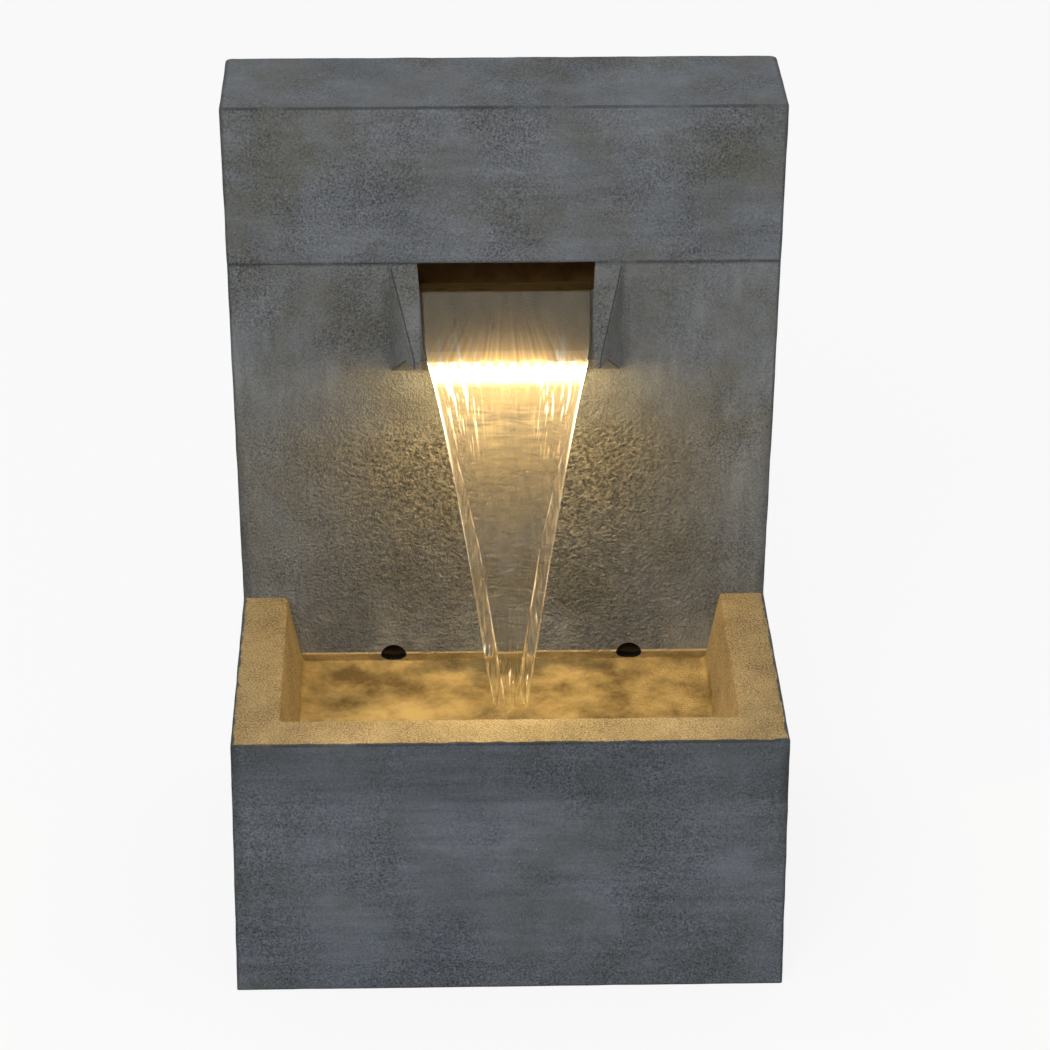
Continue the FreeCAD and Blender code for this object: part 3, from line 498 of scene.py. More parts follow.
# %% [markdown]
# Every material is made of nodes. Colours are written as on a screen and one function turns them
# to linear light. Patterns read Object coordinates, which are metres here, so a scale of
# 1 / size puts one feature of a pattern in each size.


# %% Material tools
def linear(code, alpha=1.0):
    """Screen colour such as 8F7448 as linear light."""
    values = [int(code[i:i + 2], 16) / 255 for i in (0, 2, 4)]
    return (*[v / 12.92 if v <= 0.04045 else ((v + 0.055) / 1.055) ** 2.4 for v in values], alpha)


def fill(node, sockets):
    """Links or sets a node's sockets, given by name or number, or in their order."""
    for socket, value in sockets.items() if isinstance(sockets, dict) else enumerate(sockets):
        if isinstance(value, bpy.types.NodeSocket):
            node.id_data.links.new(value, node.inputs[socket])
        else:
            node.inputs[socket].default_value = value


def add(tree, kind, sockets=(), out=0, **settings):
    """Adds a node with its settings, fills its sockets, and gives one of its outputs."""
    node = tree.nodes.new("ShaderNode" + kind)
    for name, value in settings.items():
        setattr(node, name, value)
    fill(node, sockets)
    return node.outputs[out]


def add_output(tree, surface, kind="Material"):
    fill(tree.nodes.new("ShaderNodeOutput" + kind), (surface,))


def new_material(name):
    """An empty material, its Principled shader and the Object coordinates for its patterns."""
    material = bpy.data.materials.new(name)
    material.use_nodes = True
    tree = material.node_tree
    tree.nodes.clear()
    shader = add(tree, "BsdfPrincipled")
    add_output(tree, shader)
    return material, tree, shader.node, add(tree, "TexCoord", out=3)


def wear(piece, material):
    """Gives a piece one material."""
    piece.data.materials.clear()
    piece.data.materials.append(material)


def multiply_masks(tree, masks, rows):
    """Names new masks, each the product of masks that are there already."""
    for name, first, *others in rows:
        product = masks[first]
        for other in others:
            product = add(tree, "Math", (product, masks[other]), **TIMES)
        masks[name] = product


# Settings that many nodes share: what a Math node does, and a Mix node that mixes colours.
TIMES, TIMES_PLUS, PLUS, LESS, SIZE = [
    {"operation": work} for work in ("MULTIPLY", "MULTIPLY_ADD", "ADD", "SUBTRACT", "ABSOLUTE")
]
TINT = {"out": 2, "data_type": "RGBA"}
print("linear 8F7448", [round(v, 3) for v in linear("8F7448")])

# %% [markdown]
# Cast stone is cement and sand tamped in a mould and brushed with a thin mineral wash. The eye
# sees a cool grey with cloudy tones, sandy grain, small pits, and strokes left by the brush.


# %% Cast stone
def cast_stone(name, deep, pale, stain, brushed, stained):
    """Grey cast stone. brushed gives the strokes' length along X, Y and Z in millimetres."""
    material, tree, shader, place = new_material(name)
    stroke_place = add(tree, "Mapping", {"Vector": place, "Scale": [1000 / mm for mm in brushed]})
    bare_place = add(tree, "Mapping", {"Vector": place, "Location": (3.0, 5.0, 2.0)})
    # Clouds of tone, stains, strokes, and chips at the edges. Sand grains are about 2 mm, the
    # coarsest that cast stone holds, and they show more in bare patches.
    cloud, blotch, stroke, chips, sand, bare = [
        add(tree, "TexNoise", {"Vector": where, "Scale": 1 / size, "Detail": detail, "Roughness": rough})
        for where, size, detail, rough in (
            (place, 0.11, 4.0, 0.6), (place, 0.085, 6.0, 0.68), (stroke_place, 1.0, 5.0, 0.7),
            (place, 0.03, 5.0, 0.75), (place, 0.0021, 2.0, 0.6), (bare_place, 0.07, 4.0, 0.5),
        )
    ]
    # A white mineral speck here and there, 16 mm apart.
    specks = add(tree, "TexVoronoi", {"Vector": place, "Scale": 1 / 0.016, "Randomness": 1.0})
    bare, patch, speck, chip = [add(tree, "MapRange", row) for row in (
        (bare, 0.4, 0.62, 0.5, 1.4), (blotch, 0.45, 0.68, 0.0, stained),
        (specks, 0.03, 0.06, 0.5, 0.0), (chips, 0.5, 0.62, 0.0, 0.6),
    )]
    grains = add(tree, "Math", (sand, 0.5), **LESS)
    grains = add(tree, "Math", (grains, bare), **TIMES)
    tone, stain_tone, height = -0.085, 0.5, 0.0
    for pattern, weight in ((cloud, 0.45), (stroke, 0.7), (grains, 1.5)):
        tone = add(tree, "Math", (pattern, weight, tone), **TIMES_PLUS)
    stain_tone = add(tree, "Math", (grains, 1.7, stain_tone), **TIMES_PLUS)
    for pattern, millimetres in ((grains, 2.9), (stroke, 0.8), (blotch, 2.0)):
        height = add(tree, "Math", (pattern, millimetres, height), **TIMES_PLUS)
    colour, stain_tone, edge_shade_tone = [
        add(tree, "Mix", {0: mask, 6: linear(dark), 7: linear(light)}, **TINT)
        for mask, dark, light in (
            (tone, deep, pale), (stain_tone, "3C3C33", stain), (chip, "303336", "6A6F72"),
        )
    ]
    # Last comes a dark line of painted shade along each edge, with pale chips that are partly wear and
    # partly painted highlight.
    edge = add(tree, "Attribute", out="Fac", attribute_name="edge")
    edge = add(tree, "Math", (edge, 0.6), **TIMES)
    for mask, coat in ((patch, stain_tone), (speck, linear("A6AAA8")), (edge, edge_shade_tone)):
        colour = add(tree, "Mix", {0: mask, 6: colour, 7: coat}, **TINT)
    return material, tree, shader, place, colour, height


def finish_stone(tree, shader, colour, height, roughness=0.85):
    """Joins the colour and the relief, whose height is in millimetres, to the shader."""
    bump = add(tree, "Bump", {"Height": height, "Strength": 1.0, "Distance": MM})
    fill(shader, {
        "Base Color": colour, "Normal": bump, "Roughness": roughness, "Specular IOR Level": 0.25
    })


cap_stone, tree, shader, place, colour, height = cast_stone(
    "cap_cast_stone", "3E4247", "878B90", "706F60", (70, 70, 12), 0.7
)
finish_stone(tree, shader, colour, height)
print("made", cap_stone.name)

# %% [markdown]
# The tower's front is plain above and pebbled below, where splashes and the wash have built up a
# coarse relief between the cheeks of the spout and the water. Each mask is a ramp along X, Y or Z
# in metres, from one place to another and between two strengths, or a product of such ramps.

# %% Tower's stone with its pebbled front
tower_stone, tree, shader, place, colour, height = cast_stone(
    "tower_cast_stone", "3E4146", "8D9193", "726F61", (14, 14, 60), 0.7
)
at_x, at_y, at_z = add(tree, "SeparateXYZ", (place,)).node.outputs
off_axis = add(tree, "Math", (at_x,), **SIZE)
pebbles, lime_cloud, silt_and_shadow = [
    add(tree, "TexNoise", {"Vector": place, "Scale": 1 / size, "Detail": detail, "Roughness": rough})
    for size, detail, rough in ((0.0038, 3.0, 0.66), (0.05, 5.0, 0.7), (0.03, 4.0, 0.5))
]
masks = {name: add(tree, "MapRange", row) for name, row in {
    "front": (at_y, wall_y + 0.5 * MM, wall_y + 1.5 * MM, 1.0, 0.0),
    "aside": (off_axis, 0.10, 0.22, 1.0, 0.15),
    "below": (at_z, 0.425, 0.465, 1.0, 0.2),
    "low": (at_z, 0.22, 0.38, 0.55, 1.0),
    "rinsed": (at_z, 0.24, 0.38, 0.35, 0.7),
    # Splashes have left pale lime over the lowest 80 mm.
    "splash": (at_z, 0.20, 0.29, 1.3, 0.0),
    "lime_cloud": (lime_cloud, 0.42, 0.66, 0.0, 0.5),
    # Just under the spout the stone stays damp, and so darker.
    "damp": (at_z, 0.437, 0.466, 0.0, 0.42),
    "damp_end": (at_z, 0.472, 0.50, 1.0, 0.0),
    # Tan wash under the water line, with a painted highlight along the line itself, where the meniscus
    # catches the light.
    "in_tray": (off_axis, tray_half + 0.5 * MM, tray_half + 1.5 * MM, 1.0, 0.0),
    "under": (at_z, pool_z + 1.0 * MM, pool_z + 2.2 * MM, 1.0, 0.0),
    "meniscus_highlight": (at_z, pool_z - 1.2 * MM, pool_z - 0.2 * MM, 0.0, 1.0),
    "silt_and_shadow": (silt_and_shadow, 0.4, 0.62, 0.0, 1.0),
    # Inside, the stone is stained brown where water stands. Towards the mouth it is painted paler as
    # painted light from the lamp, and lower down it is darker as painted shade.
    "inner": (off_axis, 0.238, 0.243, 1.0, 0.0),
    "rear": (at_y, back_y - 9 * MM, back_y - 6 * MM, 1.0, 0.0),
    "depth": (at_z, 0.25, 0.45, 0.0, 1.0),
    "in_hole": (at_y, wall_y + 0.4 * MM, wall_y + 1.0 * MM, 0.0, 1.0),
}.items()}
masks["behind"] = add(tree, "Math", (1.0, masks["front"]), **LESS)
multiply_masks(tree, masks, (
    ("splashed", "aside", "front"), ("pebbled", "splashed", "below", "low"),
    ("bloom_and_grain_light", "pebbled", "rinsed"), ("splash", "splash", "lime_cloud", "front"),
    ("damp", "damp", "damp_end", "splashed"), ("under", "under", "in_tray", "front"),
    ("inner", "inner", "rear", "behind"),
))
pebbles = add(tree, "Math", (pebbles, 0.5), **LESS)
pebbles = add(tree, "Math", (pebbles, masks["pebbled"]), **TIMES)
height = add(tree, "Math", (pebbles, 19.0, height), **TIMES_PLUS)
# The splashed part has taken on a brown bloom, with painted light on the crests of its grains and painted
# shade in the hollows between them.
crest_light_and_shade = add(tree, "Math", (pebbles, 3.6, 0.5), use_clamp=True, **TIMES_PLUS)
crest_light_and_shade, silt_and_shadow, inside_light_and_shade = [
    add(tree, "Mix", {0: mask, 6: linear(dark), 7: linear(light)}, **TINT) for mask, dark, light in (
        (crest_light_and_shade, "3F3A30", "99927F"), (masks["silt_and_shadow"], "8A7348", "B0955F"),
        (masks["depth"], "151006", "4D390F"),
    )
]
wash_and_meniscus_highlight = add(tree, "Mix", {0: masks["meniscus_highlight"], 6: silt_and_shadow, 7: linear("DDC696")}, **TINT)
for mask, coat in (("bloom_and_grain_light", crest_light_and_shade), ("splash", linear("A5A49C")), ("damp", linear("2A2B2B")),
                   ("under", wash_and_meniscus_highlight), ("inner", inside_light_and_shade)):
    colour = add(tree, "Mix", {0: masks[mask], 6: colour, 7: coat}, **TINT)
# Inside the two return holes the stone is painted near black, as painted shade.
for x in hole_x:
    axis = (x, wall_y + 6 * MM, hole_z)
    from_axis = add(tree, "VectorMath", (place, axis), "Value", operation="DISTANCE")
    hole_shade = add(tree, "MapRange", (from_axis, 14.5 * MM, 17 * MM, 1.0, 0.0))
    hole_shade = add(tree, "Math", (hole_shade, masks["in_hole"]), **TIMES)
    colour = add(tree, "Mix", {0: hole_shade, 6: colour, 7: linear("0E0C08")}, **TINT)
finish_stone(tree, shader, colour, height)
print("made", tower_stone.name)

# %% [markdown]
# The basin is a cooler, darker grey outside. Its rim and the inside of its tray carry a tan wash
# that stops along the outer edge, where a brush would be lifted. The wash is grainy on the rim,
# and smooth, brighter and cloudy where it lies under water.

# %% Basin's stone with its tan rim
basin_stone, tree, shader, place, colour, height = cast_stone(
    "basin_cast_stone", "353A41", "7A8088", "5C5E5C", (90, 90, 10), 0.6
)
at_x, at_y, at_z = add(tree, "SeparateXYZ", (place,)).node.outputs
tan_cloud, wobble, tan_grain = [
    add(tree, "TexNoise", {"Vector": place, "Scale": 1 / size, "Detail": detail, "Roughness": rough})
    for size, detail, rough in ((0.06, 5.0, 0.66), (0.012, 3.0, 0.5), (0.0017, 2.0, 0.65))
]
wobble, tan_grain = [add(tree, "Math", (pattern, 0.5), **LESS) for pattern in (wobble, tan_grain)]
aside = add(tree, "Math", (at_x,), **SIZE)
# The brush wandered 6 mm at most along the outer edge.
aside, ahead = [add(tree, "Math", (wobble, 6 * MM, way), **TIMES_PLUS) for way in (aside, at_y)]
# A painted shadow and reflection of the stream's foot lies dark behind the place where the stream lands,
# in an ellipse along the wall.
shadow_half = (80 * MM, 28 * MM)
shadow_place = add(tree, "Mapping", {
    "Vector": place, "Location": (-mouth_x / shadow_half[0], -(wall_y - 8 * MM) / shadow_half[1], 0.0),
    "Scale": (1 / shadow_half[0], 1 / shadow_half[1], 0.0),
})
silt_and_shadow = add(tree, "VectorMath", (shadow_place,), "Value", operation="LENGTH")
silt_and_shadow = add(tree, "Math", (tan_cloud, 1.6, silt_and_shadow), **TIMES_PLUS)
pits = add(tree, "TexVoronoi", {"Vector": place, "Scale": 1 / 0.011, "Randomness": 1.0})
masks = {name: add(tree, "MapRange", row) for name, row in {
    "in_x": (aside, rim_half - 3.0 * MM, rim_half - 1.8 * MM, 1.0, 0.0),
    "in_y": (ahead, front_y + 1.8 * MM, front_y + 3.0 * MM, 0.0, 1.0),
    "in_z": (at_z, 0.178, 0.182, 0.0, 1.0),
    "dry": (at_z, pool_z - 4 * MM, pool_z + 2 * MM, 0.0, 1.0),
    # The front of the rim, which the light reaches, is painted paler in the middle, as painted light.
    "lit_rim_x": (aside, 0.05, 0.22, 0.55, 0.0),
    "painted_y": (at_y, front_y + rim_thickness, front_y + rim_thickness + 13 * MM, 1.0, 0.0),
    "cloudy": (tan_cloud, 0.36, 0.64, 0.0, 1.0),
    "silt_and_shadow": (silt_and_shadow, 1.35, 2.1, 0.75, 0.0),
    "pit": (pits, 0.06, 0.09, 0.7, 0.0),
}.items()}
multiply_masks(tree, masks, (
    ("inside", "in_x", "in_y", "in_z"), ("lit_rim", "lit_rim_x", "painted_y"), ("pit", "pit", "dry"),
))
tan_grain = add(tree, "Math", (tan_grain, masks["dry"]), **TIMES)
tan_tone = add(tree, "Math", (tan_grain, 2.0, tan_cloud), **TIMES_PLUS)
rim_tan, lit_tan, wash = [
    add(tree, "Mix", {0: mask, 6: linear(dark), 7: linear(light)}, **TINT) for mask, dark, light in (
        (tan_tone, "584C33", "C8B388"), (tan_tone, "7A6A48", "F4E2B4"),
        (masks["cloudy"], "5E4E2E", "B09B6C"),
    )
]
rim_tan = add(tree, "Mix", {0: masks["lit_rim"], 6: rim_tan, 7: lit_tan}, **TINT)
# Over the wash come the painted shadow behind the landing, the rim's tan with its painted light, and the
# pits.
for mask, coat in (("silt_and_shadow", linear("3C3A32")), ("dry", rim_tan), ("pit", linear("38301F"))):
    wash = add(tree, "Mix", {0: masks[mask], 6: wash, 7: coat}, **TINT)
colour = add(tree, "Mix", {0: masks["inside"], 6: colour, 7: wash}, **TINT)
height = add(tree, "Math", (tan_grain, 3.6, height), **TIMES_PLUS)
finish_stone(tree, shader, colour, height)
print("made", basin_stone.name)

# %% [markdown]
# The spout is the same stone, wet and warm along its channel. Minerals have dried along the way of the
# water, in brown runs with paler ones between. A dark line of painted shade runs along the outer edge of
# each cheek, and the part inside the mouth is painted dark brown as painted shade.

# %% Spout's stone
spout_stone, tree, shader, place, colour, height = cast_stone(
    "spout_cast_stone", "444647", "8E8F8D", "7C7866", (30, 12, 12), 0.6
)
at_x, at_y, at_z = add(tree, "SeparateXYZ", (place,)).node.outputs
off_centre = add(tree, "Math", (at_x, mouth_x), **LESS)
off_centre = add(tree, "Math", (off_centre,), **SIZE)
run_place = add(tree, "Mapping", {"Vector": place, "Scale": (1 / 0.012, 1 / 0.03, 1 / 0.03)})
runs = add(tree, "TexNoise", {"Vector": run_place, "Scale": 1.0, "Detail": 6.0, "Roughness": 0.72})
spread = (back_half - front_half) / (wall_y - lip_y)
outer_x = front_half - spread * lip_y
outer_edge_shade = add(tree, "Math", (at_y, -spread, off_centre), **TIMES_PLUS)
wet, runs, outer_edge_shade, outer_shade_end, behind = [add(tree, "MapRange", row) for row in (
    (off_centre, 77 * MM, 80 * MM, 1.0, 0.0),
    (runs, 0.34, 0.66, 0.0, 1.0),
    (outer_edge_shade, outer_x - 2.4 * MM, outer_x - 1.6 * MM, 0.0, 1.0),
    (outer_edge_shade, outer_x - 1.0 * MM, outer_x - 0.6 * MM, 0.8, 0.0),
    (at_y, wall_y, wall_y + MM, 0.0, 1.0),
)]
outer_edge_shade = add(tree, "Math", (outer_edge_shade, outer_shade_end), **TIMES)
runs = add(tree, "Mix", {0: runs, 6: linear("2D2411"), 7: linear("4E452F")}, **TINT)
wet_tan = add(tree, "Mix", {0: 0.85, 6: colour, 7: runs}, **TINT)
# The line along each cheek's outer edge and the dark brown inside the mouth are painted shade.
for mask, coat in ((wet, wet_tan), (outer_edge_shade, linear("2B2C2B")), (behind, linear("4D3A12"))):
    colour = add(tree, "Mix", {0: mask, 6: colour, 7: coat}, **TINT)
dry = add(tree, "Math", (1.35, wet), **LESS)
height = add(tree, "Math", (height, dry), **TIMES)
finish_stone(tree, shader, colour, height, 0.6)
print("made", spout_stone.name)

# %% [markdown]
# Each casting takes its stone, hides the plain solids that it stands for, and rides on the one
# body that never moves.

# %% Stone pieces on their body
STONE_PIECES = (
    (tower, tower_stone, (
        "tower_front", "tower_back", "tower_left", "tower_right", "tower_floor", "door_frame",
        "drain_boss", "trough_ledges", "return_bush_left", "return_bush_right",
    )),
    (cap, cap_stone, ("cap_shell",)),
    (basin, basin_stone, ("basin_shell",)),
    (spout, spout_stone, ("spout_chute",)),
)
for piece, material, replaced in STONE_PIECES:
    wear(piece, material)
    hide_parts(*replaced)
    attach(piece, "fountain")
    print(piece.name, "stands for", len(replaced), "nodes")

# %% [markdown]
# Water leaves the trough, slides down the spout and falls. Surface tension pulls the sheet
# together as it falls, so it narrows, and gathers a thick rope along each edge. It is one grid
# whose columns run across the stream and whose rows run along it.

# %% Line of the stream
CHUTE_ROWS, FALL_ROWS, COLUMNS = 34, 150, 72
start_y = 86 * MM
END_TIME = 0.2637


def chute_point(y):
    """Height of the stream's bed on the trough's edge and the spout's sloping floor."""
    return sill_z - max(0.0, wall_y - y) * slope


def stream_line(row):
    """The middle line's y and z, and the stream's half width, at one row of the grid."""
    if row <= CHUTE_ROWS:
        y = start_y + (lip_y - start_y) * row / CHUTE_ROWS
        along = max(0.0, (wall_y - y) / (wall_y - lip_y))
        half = mouth_half + (channel_half - mouth_half) * along - 1.6 * MM - 1.5 * MM * along ** 4
        return y, chute_point(y) + 1.5 * MM, half
    time = END_TIME * (row - CHUTE_ROWS) / FALL_ROWS
    drop = 0.047 * time + 4.905 * time ** 2
    half = 73.5 * MM - 0.471 * MM * (drop / MM) ** 0.82
    return lip_y - 0.12 * time, lip_z + 1.5 * MM - drop, half


def rope_width(row):
    """Width of the thick rope along each edge, which gathers water over the first 180 mm."""
    y, z, half = stream_line(row)
    drop = max(0.0, lip_z - z) if row > CHUTE_ROWS else 0.0
    return min(half, 2.6 * MM + 9.2 * MM * min(1.0, drop / 0.18))


def stream_thickness(from_edge, rope, fall):
    """Thickness at a distance from the edge. fall is 0 at the lip and 1 at the pool."""
    swell = (2.0 + 3.4 * fall) * MM
    thin = (1.8 - 0.7 * min(1.0, fall * 4)) * MM
    if from_edge > rope:
        return thin
    side = 2 * from_edge / rope - 1
    return max(swell * math.sqrt(max(0.0, 1 - side * side)), thin if side > 0 else 0.25 * MM)


print("stream ends at", [round(v, 4) for v in stream_line(CHUTE_ROWS + FALL_ROWS)])

# %% Stream of water
settle()
bpy.ops.mesh.primitive_grid_add(x_subdivisions=COLUMNS, y_subdivisions=CHUTE_ROWS + FALL_ROWS, size=2)
stream = place_in_mesh(bpy.context.object, "falling_water")
thickness = stream.vertex_groups.new(name="thickness")
gaps = {"edge_gap": [], "rope_gap": []}
THICKEST, LAST_PART = 6 * MM, 0.07
for corner in stream.data.vertices:
    u = corner.co.x
    row = (1 - corner.co.y) / 2 * (CHUTE_ROWS + FALL_ROWS)
    y, z, half = stream_line(row)
    fall = max(0.0, (row - CHUTE_ROWS) / FALL_ROWS)
    middle = mouth_x + 2.5 * MM * fall
    rope = rope_width(row)
    from_edge = (1 - abs(u)) * half
    gaps["edge_gap"].append(from_edge / MM)
    gaps["rope_gap"].append((from_edge - rope) / MM)
    ripple = noise.noise(Vector((u * 5, row * 0.09, 3.0))) * min(1.0, 0.25 + fall * 2)
    ripple += 0.5 * noise.noise(Vector((u * 14, row * 0.05, 8.0)))
    # Over its last rows the water breaks up, so that it ends at uneven heights in the pool.
    landed = max(0.0, fall - 1 + LAST_PART) / LAST_PART
    z += landed * (6 + 14 * noise.noise(Vector((u * 11, 2.0, 6.0)))) * MM
    sway, bob = (1.1 * MM, 0.0) if fall > 0 else (0.0, 0.4 * MM)
    corner.co = (middle + u * half, y + ripple * sway, z + ripple * bob)
    weight = stream_thickness(from_edge, rope, fall)
    weight *= 1 + 0.35 * noise.noise(Vector((u * 9, row * 0.12, 1.0)))
    weight *= min(1.0, (CHUTE_ROWS + FALL_ROWS - row) / 16 + 0.02)
    thickness.add([corner.index], min(1.0, weight / THICKEST), "REPLACE")
for name, values in gaps.items():
    stream.data.attributes.new(name, "FLOAT", "POINT").data.foreach_set("value", values)
take(stream)
wall = stream.modifiers.new("wall", "SOLIDIFY")
wall.thickness, wall.offset, wall.vertex_group = THICKEST, 0.0, "thickness"
wall.thickness_vertex_group = 0.02
bpy.ops.object.modifier_apply(modifier=wall.name)
bpy.ops.object.mode_set(mode="EDIT")
bpy.ops.mesh.select_all(action="SELECT")
bpy.ops.mesh.normals_make_consistent(inside=False)
bpy.ops.object.mode_set(mode="OBJECT")
bpy.ops.object.shade_smooth()
print(size_of(stream))

# %% [markdown]
# The pool fills the tray up to its water line. Rings run out from the place where the stream
# lands, and small waves cross them. The body of water reaches a hair into the stone, so that no
# slit of air between the two mirrors the room.

# %% Pool
soaked = 0.8 * MM
pool_floor_z = tray_floor_z - soaked
pool = tray_space("pool_water", soaked, pool_floor_z, pool_z, wall_y + soaked)
round_edges(
    pool, lambda e: near(middle_of(e).z, pool_floor_z) and middle_of(e).y < wall_y - 2 * MM, 5 * MM, 4
)
for x in hole_x:
    inlet = bar("inlet", 13.3 * MM, (x, wall_y, hole_z), (x, wall_y + 18 * MM, hole_z))
    join_solid(inlet, block("above", x - 0.02, x + 0.02, 0, back_y, pool_z, rim_z))
    join_solid(pool, inlet, "UNION")
grid(pool, 3 * MM, (0, 1))
landing = Vector((mouth_x + 2.5 * MM, stream_line(CHUTE_ROWS + FALL_ROWS)[0], 0))
for corner in pool.data.vertices:
    if near(corner.co.z, pool_z, 0.1 * MM):
        away = math.hypot(corner.co.x - landing.x, corner.co.y - landing.y)
        # Rings 31 mm apart that die away in 70 mm, and waves of 18 and 7 mm that reach farther.
        rings = math.sin(away / (5.0 * MM)) * math.exp(-away / (70 * MM)) * 1.3
        small = noise.noise(corner.co / 0.018) * 0.7 + noise.noise(corner.co / 0.007) * 0.25
        corner.co.z += (rings + small * math.exp(-away / (260 * MM))) * 0.9 * MM
take(pool)
bpy.ops.object.shade_smooth_by_angle(angle=math.radians(50))
print(size_of(pool))

# %% [markdown]
# Water bends what lies behind it and mirrors at a grazing angle, at an IOR of 1.333. Shadow rays
# pass straight through, so the lamp under the lip still lights the tray.

# %% Still water of the pool
CLEAR = (0.97, 0.98, 0.96, 1.0)


def clear_water(name, roughness):
    """Water that bends and mirrors, and lets shadow rays pass straight through."""
    material, tree, shader, place = new_material(name)
    fill(shader, {"Base Color": CLEAR, "Transmission Weight": 1.0, "IOR": 1.333, "Roughness": roughness})
    shadow = add(tree, "LightPath", out="Is Shadow Ray")
    both = add(tree, "MixShader", (shadow, shader.outputs[0], add(tree, "BsdfTransparent")))
    fill(tree.get_output_node("ALL"), (both,))
    return material, tree, shader, place


pool_water, tree, shader, place = clear_water("still_water", 0.02)
swirl = add(tree, "TexNoise", {"Vector": place, "Scale": 1 / 0.006, "Detail": 2.0})
fill(shader, {"Normal": add(tree, "Bump", {"Height": swirl, "Strength": 0.35, "Distance": MM})})
print("made", pool_water.name)

# %% [markdown]
# Near the lamp the stream is given a painted glow for the light that it carries, as glowing falling water
# shows: a broad glow under the lip, bright threads in two bands, a painted highlight along each edge, a
# broken bright line where the rope meets the thin middle, and painted glints low down. Above the lip,
# painted rays of the light climb the film on the spout's floor.

# %% Running water, its patterns
falling_water, tree, shader, place = clear_water("running_water", 0.05)
falling_water.cycles.emission_sampling = "NONE"
at_z = add(tree, "SeparateXYZ", (place,), out=2)
sheet_uv = add(tree, "UVMap", uv_map=stream.data.uv_layers[0].name)
across = add(tree, "SeparateXYZ", (sheet_uv,))
off_middle = add(tree, "Math", (across, 0.5), **LESS)
aside = add(tree, "Math", (off_middle,), **SIZE)
from_edge, rope_gap = [add(tree, "Attribute", out="Fac", attribute_name=gap) for gap in gaps]
patterns = {}
for name, where, scale, detail, roughness, distortion in (
    # Streaks run along the fall, wavelets lie level across it, strands twist in its ropes.
    ("streaks", sheet_uv, (46.0, 9.0, 1.0), 3.0, 0.6, 0.0),
    ("waves", place, (32.0, 1.0, 210.0), 2.0, 0.5, 0.5),
    ("broken", place, (30.0, 1.0, 26.0), 4.0, 0.5, 0.0),
    ("strands", place, (420.0, 1.0, 55.0), 2.0, 0.5, 0.6),
):
    patterns[name] = add(tree, "TexNoise", {
        "Vector": add(tree, "Mapping", {"Vector": where, "Scale": scale}), "Scale": 1.0,
        "Detail": detail, "Roughness": roughness, "Distortion": distortion,
    })
waver = add(tree, "Math", (patterns["broken"], 0.5), **LESS)
from_rope = add(tree, "Math", (waver, 6.0, rope_gap), **TIMES_PLUS)
from_rope = add(tree, "Math", (from_rope,), **SIZE)
print(len(patterns), "patterns")

# %% Running water, its masks
masks = {name: add(tree, "MapRange", row) for name, row in {
    # A painted warm tint in the upper part of the stream stands for the lamp's light, so that less blue
    # passes through it.
    "lit_part": (at_z, 0.30, 0.43, 0.0, 1.0),
    # The core of the glow is blown out, and it ends at the lip.
    "core": (at_z, 0.520, 0.530, 0.0, 3.0),
    "lip_dim": (at_z, 0.5368, 0.5395, 1.0, 0.08),
    "soft": (patterns["streaks"], 0.3, 0.7, 0.8, 1.15),
    # Level wavelets cross the middle of the sheet between 40 and 180 mm below the lip.
    "in_middle": (aside, 0.2, 0.4, 1.0, 0.0),
    "upper": (at_z, 0.34, 0.42, 0.0, 1.0),
    "clear_of_lip": (at_z, 0.49, 0.51, 1.0, 0.0),
    # Bright threads in two bands, one each side of the middle.
    "sharp": (patterns["streaks"], 0.54, 0.62, 0.0, 1.15),
    "band": (aside, 0.18, 0.26, 0.03, 1.0),
    "band_end": (aside, 0.42, 0.46, 1.0, 0.0),
    "thread_fade": (at_z, 0.448, 0.505, 0.0, 0.9),
    # A painted highlight along each edge, and a broken painted line of light where the rope meets the
    # thin middle.
    "edge_line": (from_edge, 0.8, 2.8, 1.0, 0.0),
    "edge_fade": (at_z, 0.435, 0.49, 0.06, 1.1),
    "rope_line": (from_rope, 0.1, 0.75, 1.0, 0.0),
    "broken": (patterns["broken"], 0.47, 0.62, 0.0, 0.6),
    "rope_fade": (at_z, 0.44, 0.46, 1.0, 0.0),
    # Strands in the ropes carry short upright painted glints near the pool.
    "glints": (patterns["strands"], 0.66, 0.72, 0.0, 0.8),
    "soft_strands": (patterns["strands"], 0.4, 0.66, 0.0, 0.10),
    "low_down": (at_z, 0.22, 0.36, 1.0, 0.0),
    "near_rope": (rope_gap, -1.0, 1.0, 1.0, 0.1),
    "gathered": (at_z, 0.20, 0.29, 0.8, 0.1),
    "above": (at_z, 0.5405, 0.5415, 0.0, 1.0),
    "dim_side": (aside, 0.10, 0.44, 0.54, 0.17),
}.items()}
masks["waves"] = add(tree, "Math", (patterns["waves"], 0.5), **LESS)
masks["in_rope"] = add(tree, "Math", (masks["near_rope"], masks["gathered"]), operation="MAXIMUM")
multiply_masks(tree, masks, (
    ("waves", "waves", "in_middle", "upper", "clear_of_lip"),
    ("threads", "sharp", "band", "band_end", "thread_fade"), ("edge_line", "edge_line", "edge_fade"),
    ("rope_line", "rope_line", "broken", "rope_fade"), ("glints", "glints", "low_down", "in_rope"),
    ("soft_strands", "soft_strands", "in_rope"),
))
lines = masks["edge_line"]
for name in ("rope_line", "threads", "glints", "soft_strands"):
    lines = add(tree, "Math", (lines, masks[name]), **PLUS)
print(len(masks), "masks")

